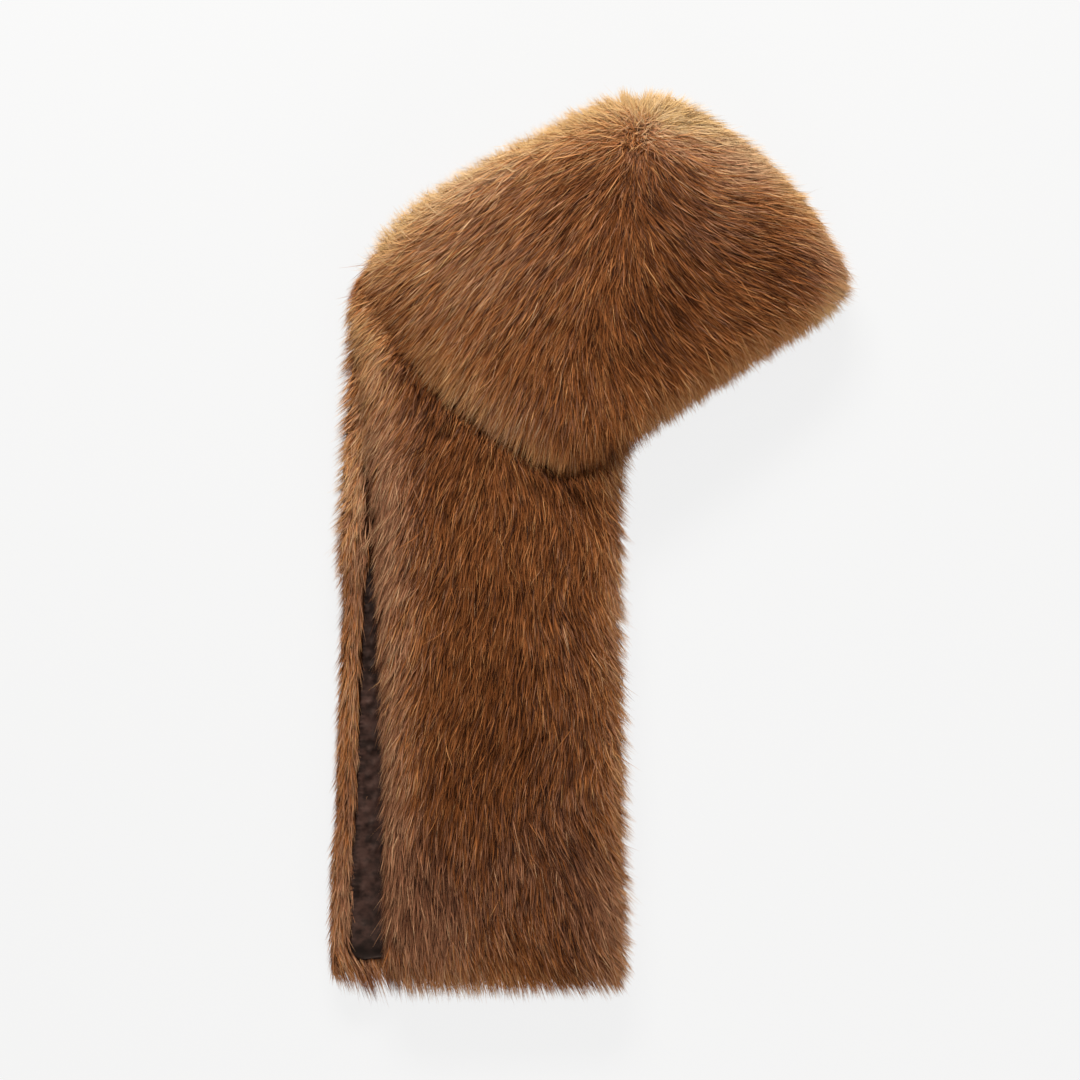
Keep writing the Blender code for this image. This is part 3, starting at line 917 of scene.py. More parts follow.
def collar_hair(points):
    """Full length of the collar's hair, and short at the crown where it stands up."""
    away = np.hypot(points[:, 0] - CROWN[0], points[:, 1] - CROWN[1])
    return COLLAR_HAIR * np.clip((away - CROWN_HAIR_FROM) / CROWN_HAIR_OVER, CROWN_HAIR_SHARE, 1.0)


PLEAT_OUTWARD = 0.74
MORE_OUTWARD = 0.14
LOW_OUTWARD_SHARE = 0.15
HIGH_OUTWARD_SHARE = 0.85


def collar_outward(points):
    """The pile drapes down over the pleat and low on the sides, and stands out round the rest of the edge."""
    off_pleat = rising(past_pleat(points[:, 0], points[:, 1]), start=0.012, over=0.030)
    high = smooth_share(rising(points[:, 2], start=0.016, over=0.018))
    return (PLEAT_OUTWARD + MORE_OUTWARD * off_pleat) * (LOW_OUTWARD_SHARE + HIGH_OUTWARD_SHARE * high)


# How far the tips reach past the collar's edges, and how the tufts at the pleat differ along it.
PLEAT_REACH = 0.0095
PLEAT_TUFTS_FULL = 1.4
PLEAT_TUFTS_WIDTH = 0.022
EDGE_SHORT_WIDTH = 0.012
LOW_EDGE_SHORT = 0.0032
BACK_EDGE_SHORT = 0.0030
TUFT_MEAN = 0.5
TUFT_WAVES = 0.3
BROAD_TUFTS = 430
FINE_TUFTS = 655


def collar_reach(points):
    """The tips reach over the tail in uneven tufts at the pleat, and less far at the low and back edges."""
    x, y = points[:, 0], points[:, 1]
    along = ACROSS_Y * x - ACROSS_X * y
    uneven = TUFT_MEAN + TUFT_WAVES * np.sin(BROAD_TUFTS * along)
    uneven = uneven + TUFT_WAVES * np.sin(FINE_TUFTS * along + 1.0)
    at_pleat = np.clip(PLEAT_TUFTS_FULL - past_pleat(x, y) / PLEAT_TUFTS_WIDTH, 0, 1)
    low = np.exp(-apart_from_line(LOW_EDGE, x, y) / EDGE_SHORT_WIDTH)
    back = np.exp(-apart_from_line(BACK_EDGE, x, y) / EDGE_SHORT_WIDTH) * towards_tail(x)
    return EDGE_REACH + PLEAT_REACH * uneven * at_pleat - LOW_EDGE_SHORT * low - BACK_EDGE_SHORT * back


# The near half's two layers of hair: the long guard hair above, and the shorter underhair that fills it.
GUARD_LOCKS = {"count": 12000, "loft": 0.0080}
GUARD_HAIRS = {"per_lock": 3, "lock_width": 0.0016, "hair_width": 0.00090, "rows": 4, "stray": 0.08}
UNDER_LOCKS = {"count": 12400, "loft": 0.0095}
UNDER_HAIRS = {"per_lock": 5, "lock_width": 0.0030, "hair_width": 0.00085, "rows": 3, "stray": 0.1}
NEAR_GROUND_LOFT = 0.0075
COLLAR_GROUND_EDGES = (0.010, 0.010)

near_collar_form = form_of("near_collar", NEAR_VOXEL, collar_reach, outward=collar_outward)
near_collar_ground = fur_ground(
    "near_collar_ground", near_collar_form, NEAR_GROUND_LOFT, COLLAR_GROUND_EDGES, open_below=True
)
collar_locks = lay_locks(near_collar_form, crown_flow, collar_hair, shown_above, seed=11, **GUARD_LOCKS)
near_collar_pile = hairs("near_collar_pile", collar_locks, collar_tone, collar_taupe, **GUARD_HAIRS)
collar_under_locks = lay_locks(near_collar_form, crown_flow, collar_hair, shown_above, seed=12, **UNDER_LOCKS)
near_collar_underhair = hairs(
    "near_collar_underhair", collar_under_locks, collar_tone, collar_taupe, **UNDER_HAIRS
)
for piece in (near_collar_ground, near_collar_pile, near_collar_underhair):
    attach(piece, "root")
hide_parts("near_collar")

# ---------------------------------------------------------------------------------------------
# The near tail: the same fur fabric, fur side up. Its pile runs straight down to the hem, leans
# out at both edges, and under the pleat still leans the way the collar's does.
# ---------------------------------------------------------------------------------------------

TAIL_STROKES = (
    (-0.15, 0.15, 50), (-0.14, 0.09, 30), (-0.14, 0.00, 20), (-0.14, -0.13, 20),
    (-0.14, -0.25, 5), (-0.09, 0.08, 25), (-0.09, 0.00, 15), (-0.09, -0.13, 15),
    (-0.09, -0.25, 0), (-0.04, 0.04, -10), (-0.04, -0.02, 5), (-0.05, -0.15, 10),
    (-0.04, -0.26, -10), (0.01, 0.04, -20), (0.01, -0.08, -20), (0.01, -0.22, -25),
    (-0.14, -0.31, -15), (-0.06, -0.31, -20), (0.01, -0.31, -30),
)

# The slow waves in the pile's lean: how much each leans, and how fast it runs down and across the tail.
LEAN_WAVES = ((0.09, 75, 45), (0.06, 120, -70))
RIGHT_EDGE_X = 0.013
RIGHT_EDGE_TURN = 0.65
RIGHT_EDGE_WAY = np.array((0.85, -0.53, 0.0))

# The line under the pleat slants up to the left, and passes the neck at NECK_X.
PLEAT_SLANT = 0.8
NECK_X = -0.09


def tail_flow(points):
    """Along the strokes of the brush, and as on the collar where the tail comes out from under it."""
    x, y = points[:, :1], points[:, 1:2]
    neck = rising(y + PLEAT_SLANT * (x - NECK_X), start=0.12, over=0.06)
    wave = sum(lean * np.sin(down * y + across * x) for lean, down, across in LEAN_WAVES)
    waved = wave * np.array((1.0, 0.0, 0.0))
    way = (brushed_along(TAIL_STROKES, points) + waved) * (1 - neck) + crown_flow(points) * neck
    at_right = smooth_share(rising(x, start=RIGHT_EDGE_X, over=0.012))
    turned_out = RIGHT_EDGE_TURN * at_right * smooth_share(rising(y, start=-0.303, over=0.025))
    return unit(way * (1 - turned_out) + RIGHT_EDGE_WAY * turned_out)


# Where the tail's tone is lighter or darker, partly its own tone and partly painted light and shade: middle,
# half sizes, and how much lighter.
TAIL_PATCHES = (
    (-0.16, 0.14, 0.02, 0.06, 0.25),
    (-0.12, 0.13, 0.03, 0.03, -0.20),
    (-0.13, 0.06, 0.02, 0.07, -0.05),
    (-0.05, -0.12, 0.04, 0.08, -0.05),
    (-0.09, -0.20, 0.04, 0.06, -0.05),
    (-0.14, -0.28, 0.02, 0.05, -0.10),
    (0.01, -0.24, 0.03, 0.06, -0.10),
    (0.01, -0.08, 0.02, 0.08, -0.05),
    (-0.09, -0.31, 0.04, 0.02, 0.15),
)
TAIL_TONE = 0.26
TAIL_MIDDLE_X = -0.060
TAIL_HALF_WIDTH = 0.085
EDGE_TAN = 0.22
# Painted shade on the left side wall and painted light on the other side walls, by how far each faces
# sideways.
LEFT_SIDE_PAINTED_SHADE = -0.10
RIGHT_SIDE_PAINTED_LIGHT = 0.25
LEFT_SIDE_X = -0.130
# Painted shade in the crease beside the pleat: how dark, and how far out.
PLEAT_SHADE = -0.14
PLEAT_SHADE_WIDTH = 0.010


def tail_tone(points, normals, chance):
    """Rust down the middle, taupe at both edges, painted light on the side walls but the left one, and
    painted shade on the left wall and beside the pleat.
    """
    x, y = points[:, 0], points[:, 1]
    across = np.abs((x - TAIL_MIDDLE_X) / TAIL_HALF_WIDTH)
    edge = EDGE_TAN * rising(across, start=0.60, over=0.40)
    # Painted shade on the left side wall, painted light on the others.
    edge += np.where(x < LEFT_SIDE_X, LEFT_SIDE_PAINTED_SHADE, RIGHT_SIDE_PAINTED_LIGHT) * np.clip(1 - normals[:, 2], 0, 1)
    # Painted shade in the crease beside the pleat.
    shaded = PLEAT_SHADE * np.exp(-((past_pleat(x, y) / PLEAT_SHADE_WIDTH) ** 2))
    return TAIL_TONE + edge + shaded + patches_at(TAIL_PATCHES, x, y) + lock_spread(chance, len(x))


TAIL_TAUPE = (
    (-0.148, 0.010, 0.028, 0.110, 1.0),
    (-0.150, -0.190, 0.024, 0.110, 0.9),
    (-0.105, -0.275, 0.035, 0.045, 0.8),
    (-0.174, -0.270, 0.016, 0.060, 0.6),
    (-0.128, -0.245, 0.030, 0.060, 0.5),
    (-0.050, -0.235, 0.035, 0.050, 0.6),
    (-0.015, -0.160, 0.025, 0.120, 0.4),
    (0.012, -0.275, 0.025, 0.060, 0.8),
    (0.022, -0.060, 0.010, 0.160, 0.6),
)
TAIL_LEAST_TAUPE = 0.05


def tail_taupe(points):
    """The share of greyer hairs on the tails: more at their edges and near the hem."""
    return np.clip(TAIL_LEAST_TAUPE + patches_at(TAIL_TAUPE, points[:, 0], points[:, 1]), 0, 1)


# The tail's pile springs up beside the pleat, but for a groove along the middle of it.
SWELL_RISE = 0.0115
SWELL_COVERED = 0.30
GROOVE = 0.70
GROOVE_WIDTH = 0.007
COVER_LOOKED_FOR = 0.2
UPWARD_FROM = 0.1
UPWARD_GAIN = 2.5


def swell_beside(form, cover):
    """Raises the top of a form where it comes out from under a cover: its pile springs up there."""
    points, normals = form["points"], form["normals"]
    plan = KDTree(len(cover["points"]))
    for index, point in enumerate(cover["points"]):
        plan.insert((point[0], point[1], 0.0), index)
    plan.balance()
    apart = np.array([plan.find((x, y, 0.0))[2] for x, y, _ in points.tolist()])
    above = Vector((0.0, 0.0, 1.0))
    hits = [cover["tree"].ray_cast(Vector(point), above, COVER_LOOKED_FOR) for point in points.tolist()]
    covered = [hit[0] is not None for hit in hits]
    x = points[:, 0]
    groove = GROOVE * smooth_share(rising(x, start=-0.140, over=0.025))
    groove = groove * smooth_share(falling(x, end=-0.004, over=0.024))
    in_groove = groove * (1 - smooth_share(apart / GROOVE_WIDTH))
    beside = (1 - in_groove) * (1 - smooth_share(rising(apart, start=0.008, over=0.020)))
    share = np.where(covered, SWELL_COVERED, beside)
    share *= np.clip(UPWARD_GAIN * (normals[:, 2] - UPWARD_FROM), 0, 1)
    reshape(form, points + np.array((0.0, 0.0, 1.0)) * (SWELL_RISE * share)[:, None])


# The tail's left edge, up the tail: the height, then the edge with its pile brushed out, and as it lies.
NEAR_LEFT_EDGE = (
    (-0.0252, -0.1512, -0.1512),
    (0.0126, -0.1565, -0.1530),
    (0.0547, -0.1615, -0.1555),
    (0.0942, -0.1648, -0.1590),
    (0.1281, -0.1677, -0.1660),
    (0.1578, -0.1684, -0.1710),
    (0.1814, -0.1639, -0.1650),
)
DRAWN_WIDTH = 0.030


def draw_in_left(form):
    """Brings the left edge of the near tail's form in to where its pile lies, fading out over DRAWN_WIDTH."""
    points = form["points"]
    height, brushed_out, as_it_lies = zip(*NEAR_LEFT_EDGE)
    left = np.interp(points[:, 1], height, brushed_out)
    moved = np.interp(points[:, 1], height, as_it_lies) - left
    share = np.clip(1 - (points[:, 0] - left) / DRAWN_WIDTH, 0, 1)
    reshape(form, points + np.array((1.0, 0.0, 0.0)) * (moved * share)[:, None])


LEFT_OUTWARD_LESS = 0.48


def tail_outward(points):
    """The pile stands straight out at the hem and the right edge, and bends round the left edge."""
    left = falling(points[:, 0], end=-0.120, over=0.020) * rising(points[:, 1], start=-0.27, over=0.03)
    return FULL_OUTWARD - LEFT_OUTWARD_LESS * left


HEM_FROM_Y = -0.29
HEM_SHORT = 0.0006
RIGHT_SHORT = 0.0012
HEM_TUFTS_LESS = 0.40


def tail_reach(points):
    """The tips stand a little less far out at the hem and at the right edge."""
    return EDGE_REACH - HEM_SHORT * (points[:, 1] < HEM_FROM_Y) - RIGHT_SHORT * (points[:, 0] > RIGHT_EDGE_X)


def tail_tufts(points):
    """The hem's hairs lie more evenly than the others."""
    return TUFT_PULL - HEM_TUFTS_LESS * (points[:, 1] < HEM_FROM_Y)


COVERED_SPARSER = 0.93


def tail_shown(points, normals):
    """As on the collar, sparse where the pleat covers the tail, and twice as thick at the hem."""
    covered = rising(points[:, 1] + PLEAT_SLANT * points[:, 0], start=0.075, over=0.02)
    hem = 1 + falling(points[:, 1], end=-0.288, over=0.008)
    return shown_above(points, normals) * (1 - COVERED_SPARSER * covered) * hem


TAIL_HAIR = 0.039
TAIL_UNDERHAIR = 0.040
TAIL_GROUND_EDGES = (0.010, 0.018)

near_tail_form = form_of("near_tail", NEAR_VOXEL, tail_reach, outward=tail_outward, tuft_pull=tail_tufts)
swell_beside(near_tail_form, near_collar_form)
draw_in_left(near_tail_form)
near_tail_ground = fur_ground(
    "near_tail_ground", near_tail_form, NEAR_GROUND_LOFT, TAIL_GROUND_EDGES, open_below=True
)
tail_locks = lay_locks(near_tail_form, tail_flow, everywhere(TAIL_HAIR), tail_shown, seed=21, **GUARD_LOCKS)
near_tail_pile = hairs("near_tail_pile", tail_locks, tail_tone, tail_taupe, **GUARD_HAIRS)
tail_under_locks = lay_locks(
    near_tail_form, tail_flow, everywhere(TAIL_UNDERHAIR), tail_shown, seed=22, **UNDER_LOCKS
)
near_tail_underhair = hairs("near_tail_underhair", tail_under_locks, tail_tone, tail_taupe, **UNDER_HAIRS)
for piece in (near_tail_ground, near_tail_pile, near_tail_underhair):
    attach(piece, "root")
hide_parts("near_tail")

# ---------------------------------------------------------------------------------------------
# The far half: the same fabric lying fur side down. Only its edges show, rolled up round the
# lining at the left and under the collar, with the pile pressed flat against the table below.
# ---------------------------------------------------------------------------------------------

# The seam between the fur and its lining, from the hem up: the height, and the place across.
SEAM_LINE = (
    (-0.2893, -0.1686),
    (-0.2400, -0.1680),
    (-0.2000, -0.1656),
    (-0.1300, -0.1631),
    (-0.0882, -0.1617),
    (-0.0238, -0.1596),
    (0.0300, -0.1600),
)

# The right edge of the far half's pile: along the seam, and at the neck out to the near tail.
FAR_PILE_EDGE = SEAM_LINE[:5] + (
    (-0.0238, -0.1592),
    (0.0100, -0.1582),
    (0.0450, -0.1582),
    (0.0800, -0.1530),
    (0.1000, -0.1490),
)
FAR_VOXEL = 0.0042
NECK_RISE = 0.0075
NECK_REACH = 0.0058
NECK_DRAWN_UP = 0.40
NECK_TOP_Y = 0.100
HEM_SLANT = 0.0036

# The satin's hem: where its outer corner is, how it slants up from there, and for how far.
SATIN_CORNER_X = -0.168
SATIN_CORNER_Y = -0.2943
SATIN_HEM_SLANT = 0.15
SATIN_HEM_WIDTH = 0.022


def place_across(line, y):
    """Where a line up the tail is, across it, at a height."""
    return np.interp(y, *zip(*line))


def past_seam(points):
    """How far each place is to the left of the right edge of the far half's pile."""
    return place_across(FAR_PILE_EDGE, points[:, 1]) - points[:, 0]


def slanted(points):
    """The far half's edge slants outwards near its hem: how far each place moves."""
    x, y = points[..., 0], points[..., 1]
    near_hem = smooth_share(falling(y, end=-0.185, over=0.055))
    return -HEM_SLANT * near_hem * smooth_share(falling(x, end=-0.148, over=0.012))


def satin_end(x):
    """Where the lining's hem ends at each place across: it slants, lower at its outer side."""
    return SATIN_CORNER_Y + SATIN_HEM_SLANT * np.clip(x - SATIN_CORNER_X, 0, SATIN_HEM_WIDTH)


def fill_neck(form):
    """Raises the far half's roll where the near tail leaves only its pile in view."""
    points = form["points"].copy()
    points[:, 0] += slanted(points)
    points[:, 1] += NECK_DRAWN_UP * np.maximum(points[:, 1] - NECK_TOP_Y, 0)
    x = points[:, 0]
    upper = smooth_share(rising(points[:, 1], start=-0.050, over=0.050))
    across = smooth_share(rising(x, start=-0.176, over=0.010))
    across = across * smooth_share(falling(x, end=-0.138, over=0.012))
    upward = np.clip(2 * form["normals"][:, 2], 0, 1)
    leftward = NECK_REACH * upper * falling(x, end=-0.150, over=0.014)
    points = points + np.array((0.0, 0.0, 1.0)) * (NECK_RISE * upper * across * upward)[:, None]
    reshape(form, points - np.array((1.0, 0.0, 0.0)) * leftward[:, None])


ROLL_LEAN = -0.10
NECK_LEAN = 0.15
OUTER_LEAN = 0.16
OUTER_NECK_LEAN = 0.50
OUTER_FROM = 0.007
OUTER_FROM_LESS = 0.002
OUTER_OVER = 0.008
OUTER_END_Y = -0.22
HEM_LEAN = 0.52


def far_tail_flow(points):
    """Down the tail, a little outwards at its left edge, and inwards at its hem."""
    y = points[:, 1]
    upper = smooth_share(rising(y, start=-0.06, over=0.10))
    outer = np.clip((past_seam(points) - OUTER_FROM + OUTER_FROM_LESS * upper) / OUTER_OVER, 0, 1)
    outer *= y > OUTER_END_Y
    lean = ROLL_LEAN - NECK_LEAN * upper - (OUTER_LEAN + OUTER_NECK_LEAN * upper) * outer
    lean += HEM_LEAN * falling(y, end=-0.276, over=0.026)
    return unit(np.column_stack((lean, -np.ones(len(points)), np.zeros(len(points)))))


FAR_TONE = 0.50
FAR_TONE_WAVE = 0.05
FAR_TONE_WAVES = 40
# Painted shade on the pile just under the lining's hem.
UNDER_HEM_PAINTED_SHADE = -0.16
UNDER_HEM_X = -0.156
UNDER_HEM_WIDTH = 0.010
UNDER_HEM_Y = -0.27
NECK_TONE = 0.12
LOW_ROLL_DARKER = 0.03


def far_tail_tone(points, normals, chance):
    """Lighter than the near half, since the tips of its edge face up, with painted shade under the lining's
    hem.
    """
    x, y = points[:, 0], points[:, 1]
    middle = np.clip(1 - np.abs(x - UNDER_HEM_X) / UNDER_HEM_WIDTH, 0, 1)
    hem_painted_shade = UNDER_HEM_PAINTED_SHADE * middle * (y < UNDER_HEM_Y)
    neck = NECK_TONE * rising(y, start=-0.05, over=0.06)
    neck -= LOW_ROLL_DARKER * smooth_share(falling(y, end=-0.215, over=0.030))
    wave = FAR_TONE_WAVE * np.sin(FAR_TONE_WAVES * y)
    return FAR_TONE + wave + hem_painted_shade + neck + lock_spread(chance, len(points))


ROLL_SHOWN = 1.6
HEM_SHOWN = 5.0
RIGHT_SHOWN = 0.4
HEM_MIDDLE_X = -0.157
HEM_HALF_WIDTH = 0.014
HEM_GAP = 0.0006
LYING_UNDER = -0.5
TAIL_SHOWN_BELOW = 0.06
COLLAR_SHOWN_BELOW = 0.12
LEAST_SHOWN = 0.001


def far_tail_shown(points, normals):
    """Full on the roll and the hem, thin against the table, none under the lining."""
    x, y = points[:, 0], points[:, 1]
    outside = ROLL_SHOWN * rising(past_seam(points), start=0.0005, over=0.003)
    hem = HEM_SHOWN * falling(y, end=satin_end(x) - HEM_GAP, over=0.002)
    hem *= np.abs(x - HEM_MIDDLE_X) < HEM_HALF_WIDTH
    right = RIGHT_SHOWN * rising(x, start=0.010, over=0.008)
    above = np.maximum.reduce((outside, hem, right)) * (normals[:, 2] > LYING_UNDER)
    below = np.where(normals[:, 2] < LYING_UNDER, TAIL_SHOWN_BELOW, 0.0)
    return np.clip(above + below, LEAST_SHOWN, HEM_SHOWN)


def far_collar_shown(points, normals):
    """Full at the sides, thin against the table, none between the layers."""
    side = np.clip(1.3 - 1.5 * np.abs(normals[:, 2]), 0, 1)
    below = np.where(normals[:, 2] < LYING_UNDER, COLLAR_SHOWN_BELOW, 0.0)
    return np.clip(side + below, LEAST_SHOWN, 1)


FAR_HEM_REACH = 0.0022
CORNER_REACH = 0.0040
CORNER_X = -0.148
CORNER_WIDTH = 0.010
ROLL_TUFTS = 0.08
END_TUFTS = 0.42
TUFTED_NECK_Y = -0.03
TUFTED_HEM_Y = -0.295
COLLAR_TIPS_SHORT = 0.007


def far_tail_reach(points):
    """The tips stand a little farther out at the hem, and most beside the near tail's left edge."""
    beside = np.exp(-(((points[:, 0] - CORNER_X) / CORNER_WIDTH) ** 2))
    return EDGE_REACH + (FAR_HEM_REACH + CORNER_REACH * beside) * (points[:, 1] < HEM_FROM_Y)


def far_tail_tufts(points):
    """The roll's hairs lie evenly, and are tufted at the neck and at the hem."""
    y = points[:, 1]
    return ROLL_TUFTS + END_TUFTS * ((y > TUFTED_NECK_Y) | (y < TUFTED_HEM_Y))


def far_collar_reach(points):
    """The tips are held back where the tail's own pile passes the collar."""
    return EDGE_REACH - COLLAR_TIPS_SHORT * falling(points[:, 0], end=-0.140, over=0.010)


FAR_LOFT = 0.0040
FAR_TAIL_EDGES = (0.006, 0.018)
FAR_TAIL_HAIR = 0.026
FAR_TAIL_LOCKS = {"count": 7600, "loft": 0.0050}
FAR_TAIL_HAIRS = {"per_lock": 5, "lock_width": 0.0032, "hair_width": 0.00080, "rows": 3, "stray": 0.05}
FAR_TAIL_MIXED = 0.55
FAR_COLLAR_EDGES = (0.008, 0.008)
FAR_COLLAR_HAIR = 0.024
FAR_COLLAR_LOCKS = {"count": 2600, "loft": 0.0060}
FAR_COLLAR_HAIRS = {"per_lock": 5, "lock_width": 0.0020, "hair_width": 0.00080, "rows": 3, "stray": 0.08}

far_tail_form = form_of("far_tail", FAR_VOXEL, far_tail_reach, tuft_pull=far_tail_tufts)
fill_neck(far_tail_form)
far_tail_ground = fur_ground("far_tail_ground", far_tail_form, FAR_LOFT, FAR_TAIL_EDGES)
far_tail_locks = lay_locks(
    far_tail_form, far_tail_flow, everywhere(FAR_TAIL_HAIR), far_tail_shown, seed=31, **FAR_TAIL_LOCKS
)
far_tail_pile = hairs(
    "far_tail_pile", far_tail_locks, far_tail_tone, tail_taupe, **FAR_TAIL_HAIRS, mixed=FAR_TAIL_MIXED
)

far_collar_form = form_of("far_collar", FAR_VOXEL, far_collar_reach)
far_collar_ground = fur_ground("far_collar_ground", far_collar_form, FAR_LOFT, FAR_COLLAR_EDGES)
far_collar_locks = lay_locks(
    far_collar_form, crown_flow, everywhere(FAR_COLLAR_HAIR), far_collar_shown, seed=41, **FAR_COLLAR_LOCKS
)
far_collar_pile = hairs("far_collar_pile", far_collar_locks, collar_tone, collar_taupe, **FAR_COLLAR_HAIRS)

for piece in (far_tail_ground, far_tail_pile, far_collar_ground, far_collar_pile):
    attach(piece, "root")
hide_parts("far_tail")
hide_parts("far_collar")

# ---------------------------------------------------------------------------------------------
# The far lining: dark brown satin, cut a little long and eased on, so that it puckers across the
# strip that shows. Its hem is turned under and lies doubled.
# ---------------------------------------------------------------------------------------------

# Each pucker: its place down the tail, its share of the way across the strip, its rise and its half widths.
PUCKERS = (
    (-0.0120, 0.45, 0.0006, 0.0030, 0.0026),
    (-0.0205, 0.60, 0.0007, 0.0034, 0.0024),
    (-0.0290, 0.40, 0.0006, 0.0036, 0.0028),
    (-0.0372, 0.55, 0.0009, 0.0040, 0.0026),
    (-0.0465, 0.35, 0.0007, 0.0040, 0.0030),
    (-0.0540, 0.62, 0.0010, 0.0046, 0.0027),
    (-0.0628, 0.42, 0.0008, 0.0048, 0.0025),
    (-0.0702, 0.58, 0.0011, 0.0050, 0.0031),
    (-0.0795, 0.34, 0.0009, 0.0046, 0.0027),
    (-0.0870, 0.55, 0.0012, 0.0056, 0.0030),
    (-0.0962, 0.46, 0.0010, 0.0054, 0.0028),
    (-0.1038, 0.66, 0.0009, 0.0048, 0.0033),
    (-0.1125, 0.38, 0.0012, 0.0060, 0.0029),
    (-0.1212, 0.56, 0.0013, 0.0062, 0.0034),
    (-0.1300, 0.30, 0.0009, 0.0050, 0.0027),
    (-0.1368, 0.62, 0.0011, 0.0058, 0.0030),
    (-0.1462, 0.44, 0.0014, 0.0066, 0.0036),
    (-0.1556, 0.60, 0.0010, 0.0052, 0.0028),
    (-0.1640, 0.36, 0.0012, 0.0062, 0.0034),
    (-0.1718, 0.52, 0.0009, 0.0070, 0.0027),
    (-0.1812, 0.66, 0.0013, 0.0056, 0.0037),
    (-0.1895, 0.34, 0.0011, 0.0062, 0.0030),
    (-0.1980, 0.55, 0.0014, 0.0072, 0.0038),
    (-0.2085, 0.42, 0.0010, 0.0056, 0.0031),
    (-0.2160, 0.64, 0.0012, 0.0060, 0.0035),
    (-0.2262, 0.38, 0.0014, 0.0070, 0.0040),
    (-0.2358, 0.58, 0.0010, 0.0062, 0.0032),
    (-0.2440, 0.32, 0.0012, 0.0056, 0.0038),
    (-0.2535, 0.50, 0.0009, 0.0074, 0.0036),
    (-0.2630, 0.66, 0.0010, 0.0056, 0.0042),
    (-0.2700, 0.36, 0.0009, 0.0060, 0.0040),
)
PUCKER_NARROWED = 0.62
PUCKER_DRAWN_OUT = 1.12
PUCKER_RISE = 1.3
PUCKER_SLANT = 0.25
PUCKER_END = 3.5

# The right edge of the strip that shows, along the near tail: the height, and the place across.
STRIP_RIGHT = (
    (-0.2893, -0.1449),
    (-0.1442, -0.1463),
    (-0.0742, -0.1491),
    (-0.0252, -0.1512),
    (0.0300, -0.1585),
)
RUFFLE_PITCH = 0.0034
RUFFLE_RISE = 0.0011
RUFFLE_REACH = 0.0024
RUFFLE_DRIFT = 1.3
RUFFLE_DRIFT_WAVES = 90
NARROWEST = 0.001

# The satin's hem is turned under: where it turns, how high it rolls there, and where it rises and ends.
HEM_TURN_Y = -0.2820
HEM_ROLL = 0.0026
HEM_RISE_FROM = 0.020
HEM_RISE_OVER = 0.018
HEM_TURN_DEPTH = 0.011
HEM_TURN_DROP = 0.9


def held(value):
    """The value, held between 0 and 1."""
    return min(max(value, 0.0), 1.0)


def satin_rise(x, y):
    """How far the satin stands above its flat lay at a place: seam ruffles, puckers and the turned hem."""
    left = float(place_across(SEAM_LINE, y))
    right = float(place_across(STRIP_RIGHT, y))
    wide = max(right - left, NARROWEST)
    rise = 0.0
    for at, share, height, half_x, half_y in PUCKERS:
        aside = x - left - share * wide
        down = (y - at - PUCKER_SLANT * aside) / (PUCKER_DRAWN_OUT * half_y)
        over = aside / (PUCKER_NARROWED * half_x)
        if abs(down) < PUCKER_END:
            rise += PUCKER_RISE * height * math.exp(-down * down - over * over)
    phase = 2 * math.pi * y / RUFFLE_PITCH + RUFFLE_DRIFT * math.sin(RUFFLE_DRIFT_WAVES * y)
    rise += RUFFLE_RISE * math.sin(phase) * math.exp(-max(x - left, 0) / RUFFLE_REACH)
    rise *= held((right + 0.003 - x) / 0.006)
    rise *= held((y - HEM_TURN_Y) / 0.006)
    raised = held((HEM_TURN_Y + HEM_RISE_FROM - y) / HEM_RISE_OVER)
    turned_under = max((HEM_TURN_Y - y) / HEM_TURN_DEPTH, 0.0)
    turned = HEM_ROLL * (raised * raised * (3 - 2 * raised) - HEM_TURN_DROP * turned_under * turned_under)
    return rise + turned * held((-0.142 - x) / 0.004)


# The solid lining's own gathers are pressed flatter, and its hem is drawn down to where the satin ends.
SATIN_CUTS = 4
SATIN_WELD = 1e-5
SOLID_HEM_Y = -0.2893
HEM_DRAWN_FROM_Y = -0.265
HEM_DRAWN_OVER = 0.0243
UPPER_FACE_Z = 0.0139
SATIN_LIES_Z = 0.0145
SATIN_LEAST_Z = 0.0138
GATHERS_KEPT = 0.4

lining_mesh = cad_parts["far_lining"].data.copy()
lining_mesh.name = "far_lining_satin"
cloth = bmesh.new()
cloth.from_mesh(lining_mesh)
bmesh.ops.remove_doubles(cloth, verts=cloth.verts, dist=SATIN_WELD)
bmesh.ops.subdivide_edges(cloth, edges=cloth.edges[:], cuts=SATIN_CUTS, use_grid_fill=True)
for point in cloth.verts:
    point.co.x += float(slanted(np.array(point.co)))
    drawn_down = held((HEM_DRAWN_FROM_Y - point.co.y) / HEM_DRAWN_OVER)
    point.co.y += (satin_end(point.co.x) - SOLID_HEM_Y) * drawn_down * drawn_down
    if point.co.z > UPPER_FACE_Z:
        flatter = SATIN_LIES_Z + (point.co.z - SATIN_LIES_Z) * GATHERS_KEPT
        point.co.z = max(flatter + satin_rise(point.co.x, point.co.y), SATIN_LEAST_Z)
cloth.to_mesh(lining_mesh)
cloth.free()
lining_mesh.shade_smooth()

SATIN_SHADER = {"Specular IOR Level": 0.30, "Specular Tint": (1.0, 0.72, 0.60, 1.0)}
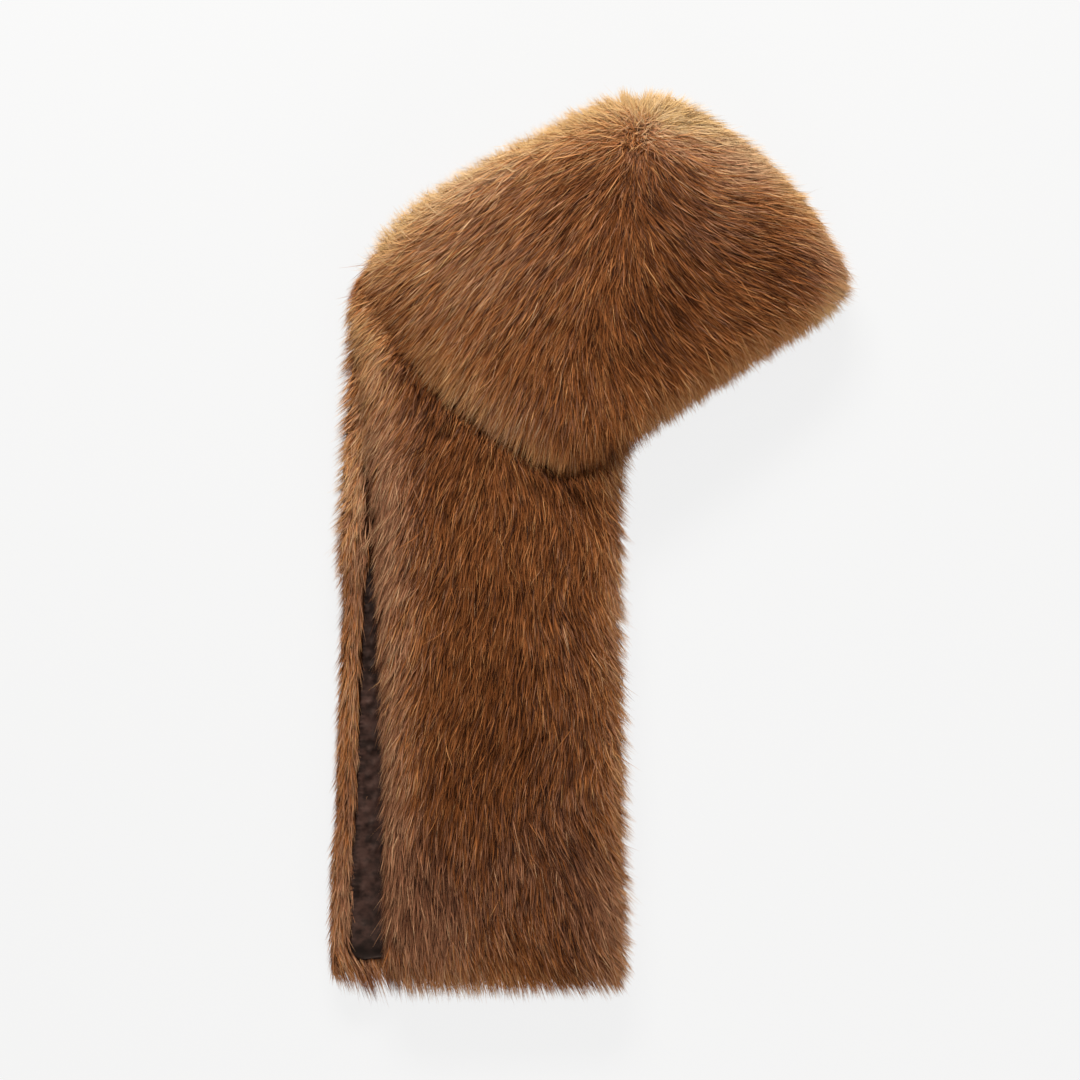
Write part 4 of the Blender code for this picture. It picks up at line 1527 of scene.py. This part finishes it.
# The satin's colour, mixed in soft blotches between a dark one with painted shade and a paler one with
# painted sheen.
SATIN_PAINTED_FOLD_SHADE = (0.009, 0.0040, 0.0031)
SATIN_PAINTED_CREST_SHEEN = (0.052, 0.0255, 0.0195)
PAINTED_SHEEN_RUN = ((0.36, SATIN_PAINTED_FOLD_SHADE), (0.66, SATIN_PAINTED_CREST_SHEEN))
PAINTED_SHEEN_SPOT_SIZE = 170.0
SHEEN_SIZE = 400.0
WEAVE_SIZE = 500.0
SATIN_DETAIL = 2.0
DULLEST = 0.56
GLOSSIEST = 0.32
WEAVE_STRENGTH = 0.15
WEAVE_DEPTH = 0.0006

# The hem lies doubled and the strip narrows under the pile above it, and both get painted shade: each row is
# a share of the way up the strip, and how much of the satin's colour is left there.
SATIN_BOTTOM = -0.300
SATIN_TOP = 0.000
SATIN_DEEPEST_PAINTED_SHADE = (0.20, 0.18, 0.18)
SATIN_SHADE = ((0.050, 0.20), (0.070, 0.75), (0.240, 1.0), (0.600, 1.0), (0.800, 0.55))

satin, satin_shader = new_finish("brown_satin", SATIN_SHADER)
satin_tree = satin.node_tree
on_satin = dye_node(satin_tree, "TexCoord", {}).outputs["Object"]


def satin_noise(scale, across):
    """Soft noise over the satin, drawn out across the strip."""
    drawn_out = dye_node(satin_tree, "Mapping", {"Vector": on_satin, "Scale": (across, 1.0, 1.0)})
    inputs = {"Vector": drawn_out.outputs["Vector"], "Scale": scale, "Detail": SATIN_DETAIL}
    return dye_node(satin_tree, "TexNoise", inputs).outputs["Fac"]


# Painted sheen: soft noise mixes the satin's dark and pale colours.
satin_with_painted_sheen = dye_ramp(satin_tree, satin_noise(PAINTED_SHEEN_SPOT_SIZE, 0.9), PAINTED_SHEEN_RUN)
up_strip = dye_node(satin_tree, "SeparateXYZ", {0: on_satin}).outputs["Y"]
strip_ends = {"From Min": SATIN_BOTTOM, "From Max": SATIN_TOP}
along_strip = dye_node(satin_tree, "MapRange", {"Value": up_strip, **strip_ends}).outputs["Result"]
# The painted shade up the strip is multiplied into the satin's colour.
painted_shade_run = [(place, (left, left, left)) for place, left in SATIN_SHADE]
shade = dye_ramp(satin_tree, along_strip, [(0.0, SATIN_DEEPEST_PAINTED_SHADE), *painted_shade_run, (1.0, SATIN_DEEPEST_PAINTED_SHADE)])
shaded = dye_mix(satin_tree, 1.0, satin_with_painted_sheen, shade, blend="MULTIPLY")
feed(satin_tree, satin_shader.inputs["Base Color"], shaded)
sheen_ends = {"To Min": GLOSSIEST, "To Max": DULLEST}
sheen = dye_node(satin_tree, "MapRange", {"Value": satin_noise(SHEEN_SIZE, 0.6), **sheen_ends})
feed(satin_tree, satin_shader.inputs["Roughness"], sheen.outputs["Result"])
weave_inputs = {"Height": satin_noise(WEAVE_SIZE, 0.8), "Strength": WEAVE_STRENGTH, "Distance": WEAVE_DEPTH}
weave = dye_node(satin_tree, "Bump", weave_inputs)
feed(satin_tree, satin_shader.inputs["Normal"], weave.outputs["Normal"])
lining_mesh.materials.clear()
lining_mesh.materials.append(satin)
far_lining_satin = put_in_scene("far_lining_satin", lining_mesh)
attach(far_lining_satin, "root")
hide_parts("far_lining")
